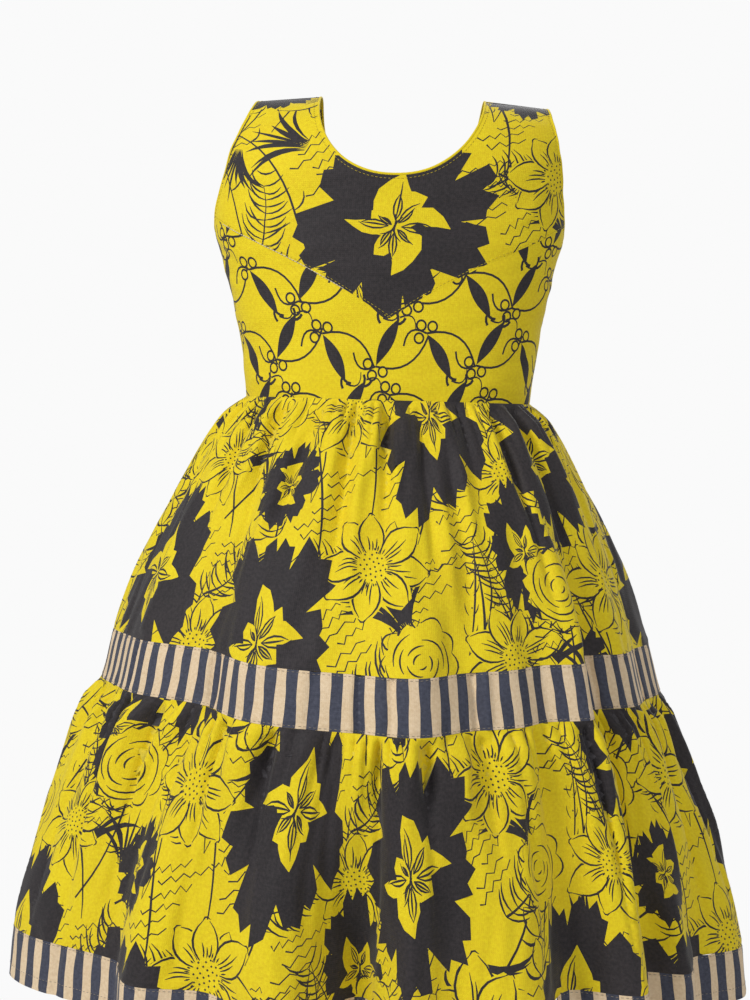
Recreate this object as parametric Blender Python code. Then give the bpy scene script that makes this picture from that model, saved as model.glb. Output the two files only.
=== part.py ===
"""A girl's sleeveless dress in printed cotton: a fitted bodice with a V yoke over a skirt of two gathered
tiers, each with a striped band at its lower edge. It keeps the filled-out, hollow form of a worn dress.

The tables and the surfaces are in millimetres, and each mesh is turned to metres as it is made. +Z is up and
the front faces -Y. The origin is midway between the shoulders, level with their tops, where the wearer holds
the dress up. An angle round the body is in degrees from the centre front, positive towards +X."""

import math

import bmesh
import bpy
import numpy as np
from mathutils import Matrix, Vector
from mathutils.geometry import delaunay_2d_cdt

MM = 0.001

# Heights, each a drop from the tops of the shoulders or from the waist seam
CHEST_DROP = 76
UNDERARM_DROP = 108
WAIST_DROP = 238
UPPER_TIER_LENGTH = 187
MID_BAND_WIDTH = 39
LOWER_TIER_LENGTH = 192
HEM_BAND_WIDTH = 39
MID_BAND_TOP = UPPER_TIER_LENGTH
MID_BAND_FOOT = MID_BAND_TOP + MID_BAND_WIDTH
HEM_BAND_TOP = MID_BAND_FOOT + LOWER_TIER_LENGTH
HEM = HEM_BAND_TOP + HEM_BAND_WIDTH

# Bodice cut
NECK_HALF_WIDTH = 64
FRONT_NECK_DROP = 70
BACK_NECK_DROP = 62
NECK_ROUNDNESS = 2.2
SHOULDER_SEAM_FORWARD = 16
SHOULDER_SLOPE = 6
SHOULDER_ARC = 122
STRAP_STRAIGHT = 20
YOKE_POINT_DROP = 177
YOKE_SIDE_DROP = 99

# Cloth and seams
BODICE_WALL = 1.2
SKIRT_WALL = 1.6
SEAM_GAP = 0.3
BODICE_MESH = 14
MM_PER_DEGREE = 2.1
SIDE_DEPTH = 78

# Gathers: how many a half of the skirt takes, and how far they stand out near their seam
UPPER_GATHERS = 14
LOWER_GATHERS = 18
WAIST_GATHERS = {"seam": 0, "rise": 6.0}
BAND_GATHERS = {"seam": MID_BAND_FOOT, "rise": 8.5}
GATHER_COLUMNS = 4
BAND_COLUMNS = 64
SIDE_LIFT = 5

# Zip at the centre back
ZIP_OPENING = 6
ZIP_END = 88
ZIP_TAPER = 12
ZIP_FLAT = 7
TAPE_HALF_WIDTH = 12
TAPE_WALL = 0.8
CHAIN_HALF_WIDTH = 2.5
TAPE_FACE = -SKIRT_WALL / 2 - SEAM_GAP
CHAIN_FACE = 0.9
SLIDER_LENGTH = 11
SLIDER_START = BACK_NECK_DROP + 1.5
CHAIN_START = SLIDER_START + SLIDER_LENGTH + SEAM_GAP

# The rows of the tiers' grids, each a drop below its tier's own upper seam
UPPER_ROWS = (7, 18, 42, 78, ZIP_END, ZIP_END + ZIP_TAPER, 145)
LOWER_ROWS = (8, 22, 50, 90, 140)

# Slider and pull tab, as heights out of the back and sizes along the zip
PLATE_HALF_WIDTH = 4.2
PLATE_FOOT = CHAIN_FACE + SEAM_GAP
PLATE_TOP = PLATE_FOOT + 1.1
CORE_HALF_WIDTH = 2.2
BRIDGE_HALF_WIDTH = 0.9
BRIDGE_REACH = 3.9
BRIDGE_LEG = 1.2
WINDOW_TOP = PLATE_TOP + 1.8
BRIDGE_TOP = WINDOW_TOP + 1.0
PIN_HEIGHT = (PLATE_TOP + WINDOW_TOP) / 2
PIN_HALF = 0.5
PULL_LENGTH = 27
PULL_HALF_WIDTH = 3.1
PULL_EYE = 6.4
ARM_CLEARANCE = 0.4
ARM_OUTSIDE = 2.6


def table(columns, *rows):
    """A table with named columns, as a dictionary of arrays."""
    return dict(zip(columns.split(), np.array(rows, float).T))


# The bodice's tube: its half-width at the sides, and its depths before and behind the side seams
BODICE = table(
    "drop side front back centre squareness",
    (0, 138, 80, 76, 5, 2.4),
    (40, 138, 80, 76, 1.5, 2.4),
    (76, 138, 80, 76, -1.5, 2.4),
    (104, 137.5, 80.5, 76, -3, 2.4),
    (140, 128.5, 82, 77, -2, 2.4),
    (170, 122, 82, 78, -1, 2.4),
    (197, 117, 82, 79, 0, 2.4),
    (238, 112, 82, 80, 0, 2.4),
)
# The armhole's edge, as an angle round the tube, from the strap's outer edge to the side seam
ARMHOLE = table(
    "drop angle",
    (0, 51),
    (17, 54),
    (39, 59),
    (70, 66.5),
    (86, 72),
    (97, 77.5),
    (104, 83),
    (UNDERARM_DROP, 90),
)
# The skirt's tube below the waist seam, before its folds
SKIRT = table(
    "drop side front back centre front_squareness back_squareness",
    (0, 112, 82, 80, 0, 2.4, 2.4),
    (12, 122, 94, 92, 0, 2.3, 2.35),
    (30, 136, 110, 107, 0, 2.15, 2.3),
    (61, 155, 133, 129, 0, 2.0, 2.2),
    (88, 170, 153, 147, 0, 1.9, 2.1),
    (128, 190, 180, 171, 0, 1.8, 2.0),
    (187, 211, 211, 197, 0, 1.75, 2.0),
    (226, 221, 218, 205, 1, 1.75, 2.0),
    (266, 240, 222, 214, 1, 1.75, 2.0),
    (337, 268, 226, 224, 2, 1.75, 2.0),
    (418, 288, 230, 232, 4, 1.75, 2.0),
    (457, 292, 232, 236, 5, 1.75, 2.0),
)
# The big folds round the middle band: each row is a crest and the hollow after it, and how far each lies out
BAND_FOLDS = table(
    "crest rise hollow fall",
    (-88, 3, -72, -2),
    (-60, 1, -41, -12),
    (-24, 5, -5, -6),
    (7, 6, 17, -4),
    (27, 3, 33, -1),
    (42, 13, 49, -12),
    (62, 2, 74, -4),
    (88, 3, 101, -5),
    (115, 5, 129, -6),
    (142, 6, 155, -5),
    (169, 4, 184, -4),
    (198, 6, 210, -6),
    (222, 5, 236, -5),
    (249, 4, 260, -3),
)
# The same at the hem, where they are deeper
HEM_FOLDS = table(
    "crest rise hollow fall",
    (-76, 9, -47, -14),
    (-37, 15, -26, -7),
    (-14, 12, -3, -46),
    (5, 12, 11, 2),
    (20, 17, 32, -20),
    (41, 15, 49, -18),
    (55, 5, 64, -13),
    (77, 8, 90, -7),
    (103, 12, 114, -12),
    (126, 16, 138, -15),
    (149, 12, 160, -18),
    (172, 15, 183, -13),
    (194, 14, 206, -16),
    (217, 13, 228, -18),
    (239, 15, 251, -12),
    (262, 8, 273, -4),
)

YELLOW = (0.79, 0.62, 0.03)
SECOND_YELLOW = (0.74, 0.55, 0.03)
STRIPE = (0.26, 0.24, 0.25)
TAPE = (0.70, 0.54, 0.05)
BRASS = (0.66, 0.50, 0.22)


def smooth_curve(rows, column):
    """A curve through one column of a table, against its first column, that never overshoots a row."""
    at = next(iter(rows.values()))
    values = rows[column]
    step = np.diff(at)
    slope = np.diff(values) / step
    tangent = np.concatenate([slope[:1], np.zeros(len(at) - 2), slope[-1:]])
    for i in range(1, len(at) - 1):
        if slope[i - 1] * slope[i] > 0:
            tangent[i] = 2 * slope[i - 1] * slope[i] / (slope[i - 1] + slope[i])

    def value(where):
        where = np.clip(where, at[0], at[-1])
        i = np.clip(np.searchsorted(at, where, side="right") - 1, 0, len(step) - 1)
        t = (where - at[i]) / step[i]
        rise = tangent[i] * step[i] * t * (1 - t) ** 2 - tangent[i + 1] * step[i] * t**2 * (1 - t)
        return values[i] * (1 - ease(t)) + values[i + 1] * ease(t) + rise

    return value


def ease(t):
    """0 to 1 with level ends, as t goes from 0 to 1."""
    t = np.clip(t, 0, 1)
    return t * t * (3 - 2 * t)


def ring(angle, side, depth, squareness):
    """A point on a rounded section, as its distance to the side and its distance before the side seams."""
    across, out = np.sin(np.radians(angle)), np.cos(np.radians(angle))
    scale = (np.abs(across) ** squareness + np.abs(out) ** squareness) ** (-1 / squareness)
    return side * across * scale, depth * out * scale


def bodice_point(angle, path):
    """The bodice's middle surface. path runs from the top of the shoulder down the front, and as a negative
    number down the back: round the shoulder first and then straight down."""
    angle, path = np.broadcast_arrays(np.asarray(angle, float), np.asarray(path, float))
    turn = np.clip(np.abs(path) / SHOULDER_ARC, 0, 1) * math.pi / 2
    drop = CHEST_DROP * (1 - np.cos(turn)) + np.maximum(np.abs(path) - SHOULDER_ARC, 0)
    is_back = path < 0
    shape = {name: smooth_curve(BODICE, name)(drop) for name in list(BODICE)[1:]}
    depth = np.where(is_back, shape["back"], shape["front"]) * np.sin(turn)
    across, out = ring(angle, shape["side"], depth, shape["squareness"])
    slope = SHOULDER_SLOPE * np.clip(np.abs(across) - 40, 0, None) / 72 * (1 - ease(drop / 60))
    return np.stack([shape["centre"] + across, np.where(is_back, out, -out), -drop - slope], -1)


def path_at(drop):
    """How far down the bodice's surface, from the top of the shoulder, a drop lies."""
    drop = np.asarray(drop, float)
    turn = np.arccos(np.clip(1 - drop / CHEST_DROP, 0, 1))
    return turn / (math.pi / 2) * SHOULDER_ARC + np.maximum(drop - CHEST_DROP, 0)


def angle_at(across, drop):
    """The angle at which the bodice's tube is this far to the side."""
    side = smooth_curve(BODICE, "side")(drop)
    squareness = smooth_curve(BODICE, "squareness")(drop)
    part = np.clip(np.abs(across) / side, 0, 1)
    return np.sign(across) * np.degrees(np.arctan2(part, (1 - part**squareness) ** (1 / squareness)))


def fold_wave(angle, folds):
    """How far the big folds push the skirt out at an angle, eased from each crest to its hollow."""
    at = np.stack([folds["crest"], folds["hollow"]], 1).ravel()
    push = np.stack([folds["rise"], folds["fall"]], 1).ravel()
    at = np.concatenate([at - 360, at, at + 360])
    push = np.concatenate([push, push, push])
    i = np.clip(np.searchsorted(at, angle, side="right") - 1, 0, len(at) - 2)
    return push[i] + (push[i + 1] - push[i]) * ease((angle - at[i]) / (at[i + 1] - at[i]))


def gather_wave(gather, below, rise):
    """How far the gathers push out, below their seam. Each has a height and a length of its own."""
    number = np.floor(gather)
    strength = 0.85 + 0.3 * np.sin(2.4 * number + 1) + 0.15 * np.sin(5.3 * number)
    length = 75 + 30 * np.sin(3.7 * number + 0.5)
    height = rise * strength * (0.08 + 0.92 * ease(below / 16)) * np.exp(-((below / length) ** 2))
    return height * np.sin(math.pi * gather) ** 2


def skirt_point(angle, drop, gather=0.0, hang=None):
    """The skirt's middle surface at a drop below the waist, with the gathers that hang from a seam, if any.
    gather counts them along the seam."""
    angle, drop = np.broadcast_arrays(np.asarray(angle, float), np.asarray(drop, float))
    shape = {name: smooth_curve(SKIRT, name)(drop) for name in list(SKIRT)[1:]}
    is_back = np.cos(np.radians(angle)) < 0
    depth = np.where(is_back, shape["back"], shape["front"])
    squareness = np.where(is_back, shape["back_squareness"], shape["front_squareness"])
    x, out = ring(angle, shape["side"], depth, squareness)
    ahead_x, ahead_out = ring(angle + 0.05, shape["side"], depth, squareness)
    along = np.stack([ahead_x - x, out - ahead_out], -1)
    along /= np.linalg.norm(along, axis=-1, keepdims=True)
    flare = ease(drop / UPPER_TIER_LENGTH)
    deepen = ease((drop - MID_BAND_FOOT) / (HEM_BAND_TOP - MID_BAND_FOOT))
    push = flare * ((1 - deepen) * fold_wave(angle, BAND_FOLDS) + deepen * fold_wave(angle, HEM_FOLDS))
    if hang:
        push = push + gather_wave(gather, drop - hang["seam"], hang["rise"])
    from_back = np.abs(angle % 360 - 180)
    near_zip = (1 - ease((from_back - ZIP_FLAT) / 12)) * (1 - ease((drop - ZIP_END) / 60))
    push = push * (1 - near_zip)
    lift = SIDE_LIFT * flare * np.sin(2 * np.radians(angle)) ** 2
    return np.stack(
        [shape["centre"] + x + along[..., 1] * push, -out - along[..., 0] * push, -WAIST_DROP - drop + lift],
        -1,
    )


def surface_normals(point, first, second, step=(0.05, 0.05)):
    """Unit vectors out of a surface that is given by a function of two numbers."""
    along = point(first + step[0], second) - point(first - step[0], second)
    down = point(first, second + step[1]) - point(first, second - step[1])
    normal = np.cross(along, down)
    normal /= np.linalg.norm(normal, axis=-1, keepdims=True)
    return -normal


def make_material(name, colour, roughness, metallic=0.0):
    material = bpy.data.materials.new(name)
    material.use_nodes = True
    shader = material.node_tree.nodes["Principled BSDF"]
    shader.inputs["Base Color"].default_value = (*colour, 1)
    shader.inputs["Roughness"].default_value = roughness
    shader.inputs["Metallic"].default_value = metallic
    material.diffuse_color = (*colour, 1)
    return material


def make_object(name, points, faces, material, smooth=True):
    """A mesh object from points in millimetres."""
    mesh = bpy.data.meshes.new(name)
    corners = [[int(i) for i in face] for face in faces]
    mesh.from_pydata([Vector(p) * MM for p in np.asarray(points, float)], [], corners)
    mesh.validate()
    if smooth:
        mesh.shade_smooth()
        mesh.set_sharp_from_angle(angle=math.radians(50))
    mesh.materials.append(material)
    made = bpy.data.objects.new(name, mesh)
    bpy.context.scene.collection.objects.link(made)
    return made


def make_wall(name, points, normals, faces, thickness, material):
    """Cloth as a closed wall: a surface moved out and in by half the thickness, and joined round its edge."""
    points, normals = points.reshape(-1, 3), normals.reshape(-1, 3)
    corners = points[[list(f[:3]) for f in faces]]
    facing = np.cross(corners[:, 1] - corners[:, 0], corners[:, 2] - corners[:, 0])
    if (facing * normals[[f[0] for f in faces]]).sum() < 0:
        faces = [tuple(reversed(f)) for f in faces]
    edges = {(f[i], f[(i + 1) % len(f)]) for f in faces for i in range(len(f))}
    rim = sorted((a, b) for a, b in edges if (b, a) not in edges)
    count = len(points)
    inner = [tuple(i + count for i in reversed(f)) for f in faces]
    sides = [(b, a, a + count, b + count) for a, b in rim]
    walls = np.concatenate([points + normals * thickness / 2, points - normals * thickness / 2])
    return make_object(name, walls, faces + inner + sides, material)


def even_points(corners, spacing):
    """Points along a closed outline, no more than the spacing apart, its corners among them."""
    placed = []
    for start, end in zip(corners, np.roll(corners, -1, axis=0)):
        count = max(1, math.ceil(np.linalg.norm(end - start) / spacing))
        placed += [start + (end - start) * i / count for i in range(count)]
    return np.array(placed)


def bodice_panel(name, outline, colour):
    """A bodice piece from its outline, whose points are (angle, path): triangles laid on the tube."""
    scale = np.array([MM_PER_DEGREE, 1.0])
    edge = even_points(np.array(outline, float) * scale, BODICE_MESH)
    low, high = edge.min(0), edge.max(0)
    inside = []
    for row in range(int((high[1] - low[1]) / BODICE_MESH / 0.87) + 1):
        for column in range(int((high[0] - low[0]) / BODICE_MESH) + 2):
            spot = low + BODICE_MESH * np.array([column + 0.5 * (row % 2), 0.87 * (row + 0.5)])
            if np.linalg.norm(edge - spot, axis=1).min() > 0.55 * BODICE_MESH:
                inside.append(spot)
    spots = [Vector(p) for p in np.concatenate([edge, np.array(inside)])]
    boundary = list(range(len(edge)))
    found, _, faces, *_ = delaunay_2d_cdt(spots, [], [boundary], 1, 1e-6)
    flat = np.array([p[:] for p in found]) / scale
    points = bodice_point(flat[:, 0], flat[:, 1])
    normals = surface_normals(bodice_point, flat[:, 0], flat[:, 1])
    material = make_material(name, colour, 0.75)
    return make_wall(name, points, normals, faces, BODICE_WALL, material)


def shoulder_seam_drop():
    """How far below the shoulder's top its seam lies, as the seam is a little way down the front."""
    return CHEST_DROP * (1 - math.cos(SHOULDER_SEAM_FORWARD / SHOULDER_ARC * math.pi / 2))


def neckline(neck_drop, side, steps=9):
    """The neck's edge from the shoulder seam to the centre, as (angle, drop) rows."""
    start = shoulder_seam_drop()
    drops = start + (neck_drop - start) * np.sin(np.linspace(0, math.pi / 2, steps)) ** 1.2
    part = np.clip(drops / neck_drop, 0, 1)
    across = NECK_HALF_WIDTH * (1 - part**NECK_ROUNDNESS) ** (1 / NECK_ROUNDNESS)
    return [(side * angle_at(x, d), d) for x, d in zip(across, drops)]


def armhole(side, top, foot, steps=10):
    """The armhole's edge between two drops, as (angle, drop) rows."""
    edge = smooth_curve(ARMHOLE, "angle")
    return [(side * float(edge(d)), d) for d in np.linspace(top, foot, steps)]


def yoke_line(side, shift):
    """The yoke's V seam from the centre to the armhole, moved down by a shift."""
    rows = []
    last = float(smooth_curve(ARMHOLE, "angle")(YOKE_SIDE_DROP + shift))
    for part in np.linspace(0, 1, 11):
        angle = last * part
        climb = 0.7 * math.sin(part * math.pi / 2) + 0.3 * part
        drop = YOKE_POINT_DROP - (YOKE_POINT_DROP - YOKE_SIDE_DROP) * climb
        rows.append((side * angle, drop + shift))
    return rows


def front_pieces():
    """The yoke with its straps, and the lower front below its V seam."""
    half = SEAM_GAP / 2
    v_shift = half * 1.25
    seam = math.degrees(half / SIDE_DEPTH)
    yoke = []
    for side in (-1, 1):
        neck = neckline(FRONT_NECK_DROP, side)
        arm = armhole(side, shoulder_seam_drop(), YOKE_SIDE_DROP - v_shift)
        run = neck[::-1] + arm + yoke_line(side, -v_shift)[::-1][1:]
        yoke.append([(a, float(path_at(d))) for a, d in run])
    outline = yoke[1] + yoke[0][::-1][1:-1]
    bodice_panel("front_yoke", outline, YELLOW)
    lower = []
    for side in (-1, 1):
        arm = armhole(side, YOKE_SIDE_DROP + v_shift, UNDERARM_DROP, 3)
        run = yoke_line(side, v_shift) + arm[1:-1]
        edge = side * (90 - seam)
        run += [(edge, UNDERARM_DROP), (edge, WAIST_DROP - half), (0, WAIST_DROP - half)]
        lower.append([(a, float(path_at(d))) for a, d in run])
    bodice_panel("front_bodice", lower[1] + lower[0][::-1][1:-1], SECOND_YELLOW)


def back_piece(side, name):
    """Half of the back with its strap, which passes over the shoulder to the seam before it."""
    half = SEAM_GAP / 2
    seam = math.degrees(half / SIDE_DEPTH)
    forward = SHOULDER_SEAM_FORWARD - SEAM_GAP
    neck = [(a, -float(path_at(d))) for a, d in neckline(BACK_NECK_DROP, side)]
    arm = [(a, -float(path_at(d))) for a, d in armhole(side, 0, UNDERARM_DROP, 12)]
    waist = -float(path_at(WAIST_DROP - half))
    zip_top, zip_foot = (
        side * math.degrees(ZIP_OPENING / 2 / smooth_curve(BODICE, "side")(drop))
        for drop in (BACK_NECK_DROP, WAIST_DROP)
    )
    foot = [(side * (90 - seam), waist), (zip_foot, waist), (zip_top, -float(path_at(BACK_NECK_DROP)))]
    inner_strap = (side * angle_at(NECK_HALF_WIDTH, 0), forward)
    outer_strap = (side * ARMHOLE["angle"][0], forward)
    arm[-1] = (side * (90 - seam), arm[-1][1])
    over = [(inner_strap[0], 0.0)] + [(a, path) for a, path in neck[:-1] if -path > STRAP_STRAIGHT]
    outline = [outer_strap] + arm + foot + over[::-1] + [inner_strap]
    bodice_panel(name, outline, SECOND_YELLOW)


def skirt_panel(name, start, end, drops, colour, columns, hang=None, first_gather=0, zip_side=0):
    """A piece of the skirt between two angles, a grid with the same columns in every row. hang gives the seam
    that its gathers fall from and how far they rise. zip_side is 1 or -1 where its last or first edge opens
    for the zip."""
    part = np.linspace(0, 1, columns + 1)
    uneven = part + 0.006 * np.sin(2 * math.pi * 3 * part) + 0.004 * np.sin(2 * math.pi * 5 * part)
    gather = first_gather + part * columns / GATHER_COLUMNS
    half = SEAM_GAP / 2
    sheet, outward = [], []
    for drop in drops:
        gap = half
        if zip_side:
            gap += (ZIP_OPENING / 2 - half) * (1 - ease((drop - ZIP_END) / ZIP_TAPER))
        side_gap = math.degrees(half / smooth_curve(SKIRT, "front")(drop))
        zip_gap = math.degrees(gap / smooth_curve(SKIRT, "side")(drop))
        first = start + (zip_gap if zip_side < 0 else side_gap)
        last = end - (zip_gap if zip_side > 0 else side_gap)
        angle = first + (last - first) * uneven
        sheet.append(skirt_point(angle, drop, gather, hang))
        step = 0.2
        gather_step = step / (last - first) * columns / GATHER_COLUMNS
        ahead = skirt_point(angle + step, drop, gather + gather_step, hang)
        behind = skirt_point(angle - step, drop, gather - gather_step, hang)
        along = (ahead - behind)[:, :2]
        along /= np.linalg.norm(along, axis=1, keepdims=True)
        outward.append(np.stack([along[:, 1], -along[:, 0], 0 * part], -1))
    width = columns + 1
    faces = [
        (r * width + c, r * width + c + 1, (r + 1) * width + c + 1, (r + 1) * width + c)
        for r in range(len(drops) - 1)
        for c in range(columns)
    ]
    material = make_material(name, colour, 0.75)
    return make_wall(name, np.array(sheet), np.array(outward), faces, SKIRT_WALL, material)


def skirt_pieces():
    """The tiers and their bands. The upper tier's back is cut in two for the zip."""
    half = SEAM_GAP / 2
    upper = [half, *UPPER_ROWS, MID_BAND_TOP - half]
    columns = UPPER_GATHERS * GATHER_COLUMNS
    skirt_panel("upper_tier_front", -90, 90, upper, YELLOW, columns, WAIST_GATHERS)
    skirt_panel("upper_tier_back_right", 90, 180, upper, YELLOW, columns // 2, WAIST_GATHERS, 20, 1)
    skirt_panel("upper_tier_back_left", -180, -90, upper, YELLOW, columns // 2, WAIST_GATHERS, 40, -1)
    columns = LOWER_GATHERS * GATHER_COLUMNS
    band = [MID_BAND_TOP + half, MID_BAND_FOOT - half]
    lower = [MID_BAND_FOOT + half, *(MID_BAND_FOOT + row for row in LOWER_ROWS), HEM_BAND_TOP - half]
    hem = [HEM_BAND_TOP + half, HEM]
    for name, start, end, first_gather in (("front", -90, 90, 60), ("back", 90, 270, 80)):
        skirt_panel(f"mid_band_{name}", start, end, band, STRIPE, BAND_COLUMNS)
        skirt_panel(f"lower_tier_{name}", start, end, lower, YELLOW, columns, BAND_GATHERS, first_gather)
        skirt_panel(f"hem_band_{name}", start, end, hem, STRIPE, columns)


def centre_back(drop, across=0.0):
    """The middle surface beside the zip, at a drop below the shoulders."""
    if drop <= WAIST_DROP:
        angle = math.degrees(across / float(smooth_curve(BODICE, "side")(drop)))
        return bodice_point(angle, -path_at(drop))
    below = drop - WAIST_DROP
    angle = 180 - math.degrees(across / float(smooth_curve(SKIRT, "side")(below)))
    return skirt_point(angle, below)


def zip_tape():
    """The two tapes and the closed chain as one strip behind the centre-back edges."""
    skirt_rows = [WAIST_DROP + row for row in (SEAM_GAP / 2, *UPPER_ROWS) if row <= ZIP_END]
    drops = np.concatenate([np.linspace(CHAIN_START, WAIST_DROP, 13)[:-1], skirt_rows])
    section = [
        (-TAPE_HALF_WIDTH, TAPE_FACE - TAPE_WALL),
        (-TAPE_HALF_WIDTH, TAPE_FACE),
        (-CHAIN_HALF_WIDTH, TAPE_FACE),
        (-CHAIN_HALF_WIDTH, CHAIN_FACE),
        (CHAIN_HALF_WIDTH, CHAIN_FACE),
        (CHAIN_HALF_WIDTH, TAPE_FACE),
        (TAPE_HALF_WIDTH, TAPE_FACE),
        (TAPE_HALF_WIDTH, TAPE_FACE - TAPE_WALL),
    ]
    points = [centre_back(drop, x) + np.array([0, out, 0]) for drop in drops for x, out in section]
    count = len(section)
    faces = [
        (r * count + i, r * count + (i + 1) % count, (r + 1) * count + (i + 1) % count, (r + 1) * count + i)
        for r in range(len(drops) - 1)
        for i in range(count)
    ]
    last = (len(drops) - 1) * count
    faces += [tuple(range(count))[::-1], tuple(range(last, last + count))]
    tape = make_object("zip_tape", points, faces, make_material("zip_tape", TAPE, 0.6), smooth=False)
    turn_outwards(tape)


def turn_outwards(made):
    shape = bmesh.new()
    shape.from_mesh(made.data)
    bmesh.ops.recalc_face_normals(shape, faces=shape.faces)
    shape.to_mesh(made.data)
    shape.free()


def slider_frame():
    """The slider's own axes at the zip's top: X to the side, Y down the zip and Z out of the back."""
    middle = SLIDER_START + SLIDER_LENGTH / 2
    down = (Vector(centre_back(middle + 3)) - Vector(centre_back(middle - 3))).normalized()
    out = down.cross(Vector((1, 0, 0))).normalized()
    if out.y < 0:
        out = -out
    place = Matrix((down.cross(out), down, out)).transposed().to_4x4()
    place.translation = Vector(centre_back(middle))
    return place


def add_box(shape, low, high):
    """A box between two corners."""
    middle = (Vector(low) + Vector(high)) / 2
    size = Vector(high) - Vector(low)
    made = bmesh.ops.create_cube(shape, size=1)
    bmesh.ops.scale(shape, vec=size, verts=made["verts"])
    bmesh.ops.translate(shape, vec=middle, verts=made["verts"])


def box_union(name, boxes, place, material, bevel):
    """Boxes given by two corners each, joined into one bevelled body by Boolean unions."""
    made = None
    for number, (low, high) in enumerate(boxes):
        shape = bmesh.new()
        add_box(shape, low, high)
        mesh = bpy.data.meshes.new(name)
        shape.to_mesh(mesh)
        shape.free()
        mesh.transform(Matrix.Scale(MM, 4))
        piece = bpy.data.objects.new(name if number == 0 else f"{name}_piece_{number}", mesh)
        bpy.context.scene.collection.objects.link(piece)
        if number == 0:
            made = piece
            mesh.materials.append(material)
            continue
        piece.hide_render = True
        piece.display_type = "WIRE"
        join = made.modifiers.new(f"join_{number}", "BOOLEAN")
        join.operation = "UNION"
        join.object = piece
        piece.matrix_world = place
    made.matrix_world = place
    rounded = made.modifiers.new("edges", "BEVEL")
    rounded.width = bevel * MM
    rounded.segments = 1
    rounded.limit_method = "ANGLE"
    return made


def zip_slider(place):
    """The slider: a plate over the teeth, its core between them, and the bridge that carries the pull tab."""
    reach = SLIDER_LENGTH / 2
    wide = BRIDGE_HALF_WIDTH
    foot = PLATE_TOP - 0.3
    boxes = [
        ((-PLATE_HALF_WIDTH, -reach, PLATE_FOOT), (PLATE_HALF_WIDTH, reach, PLATE_TOP)),
        ((-CORE_HALF_WIDTH, -reach, TAPE_FACE + SEAM_GAP), (CORE_HALF_WIDTH, reach, PLATE_FOOT + 0.4)),
        ((-wide, -BRIDGE_REACH, foot), (wide, BRIDGE_LEG - BRIDGE_REACH, BRIDGE_TOP)),
        ((-wide, BRIDGE_REACH - BRIDGE_LEG, foot), (wide, BRIDGE_REACH, BRIDGE_TOP)),
        ((-wide, -BRIDGE_REACH, WINDOW_TOP), (wide, BRIDGE_REACH, BRIDGE_TOP)),
    ]
    scaled = place.copy()
    scaled.translation = place.translation * MM
    box_union("zip_slider", boxes, scaled, make_material("zip_slider", BRASS, 0.3, 1.0), 0.15)


def zip_pull(place):
    """The pull tab: a pin through the bridge, two arms beside it and a tab. Its origin is the pin."""
    near, far = BRIDGE_HALF_WIDTH + ARM_CLEARANCE, ARM_OUTSIDE
    low, high = -PIN_HALF, PIN_HALF
    boxes = [
        ((-far, low, low), (far, high, high)),
        ((-far, low, low), (-near, PULL_EYE + 1, high)),
        ((near, low, low), (far, PULL_EYE + 1, high)),
        ((-PULL_HALF_WIDTH, PULL_EYE, low), (PULL_HALF_WIDTH, PULL_LENGTH, high)),
    ]
    pin = place @ Vector((0, 0, PIN_HEIGHT))
    scaled = place.copy()
    scaled.translation = pin * MM
    box_union("zip_pull", boxes, scaled, make_material("zip_pull", BRASS, 0.3, 1.0), 0.12)


def main():
    for old in list(bpy.data.objects):
        bpy.data.objects.remove(old, do_unlink=True)
    front_pieces()
    back_piece(-1, "back_bodice_left")
    back_piece(1, "back_bodice_right")
    skirt_pieces()
    zip_tape()
    place = slider_frame()
    zip_slider(place)
    zip_pull(place)


main()
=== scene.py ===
"""The looks of a girl's tiered dress: wax-printed cotton laid on the frame's surfaces with its gathers and
creases, the striped bands, the stitching and the zip.

Surfaces and cuts are in millimetres and turned to metres as each mesh is made. Angles are in degrees round
the body from the centre front, positive towards +X. A flat spot is (across, down) on the cut cloth."""

import math

import bmesh
import bpy
import numpy as np
from mathutils import Matrix, Vector
from mathutils.geometry import delaunay_2d_cdt
from mathutils.kdtree import KDTree


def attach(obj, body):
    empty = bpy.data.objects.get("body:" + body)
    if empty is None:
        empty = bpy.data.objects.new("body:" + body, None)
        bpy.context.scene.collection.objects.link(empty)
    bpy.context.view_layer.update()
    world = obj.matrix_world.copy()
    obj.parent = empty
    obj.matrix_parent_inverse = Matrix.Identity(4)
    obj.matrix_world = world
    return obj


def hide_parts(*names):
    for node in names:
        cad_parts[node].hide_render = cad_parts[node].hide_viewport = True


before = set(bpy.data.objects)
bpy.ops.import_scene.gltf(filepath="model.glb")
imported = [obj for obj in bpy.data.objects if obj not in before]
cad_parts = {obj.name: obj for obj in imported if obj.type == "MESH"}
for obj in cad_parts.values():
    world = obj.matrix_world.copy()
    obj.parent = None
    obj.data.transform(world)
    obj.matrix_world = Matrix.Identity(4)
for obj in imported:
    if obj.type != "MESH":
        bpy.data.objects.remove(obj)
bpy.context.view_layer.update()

MM = 0.001

# The frame's driving sizes
CHEST_DROP = 76
UNDERARM_DROP = 108
WAIST_DROP = 238
MID_BAND_TOP = 187
MID_BAND_FOOT = 226
HEM_BAND_TOP = 418
HEM = 457
NECK_HALF_WIDTH = 64
FRONT_NECK_DROP = 70
BACK_NECK_DROP = 62
NECK_ROUNDNESS = 2.2
SHOULDER_SEAM_FORWARD = 16
SHOULDER_SLOPE = 6
SHOULDER_ARC = 122
STRAP_STRAIGHT = 20
YOKE_POINT_DROP = 177
YOKE_SIDE_DROP = 99
SIDE_DEPTH = 78
SIDE_LIFT = 5
ZIP_OPENING = 6
ZIP_END = 88
ZIP_TAPER = 12
ZIP_FLAT = 7

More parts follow.
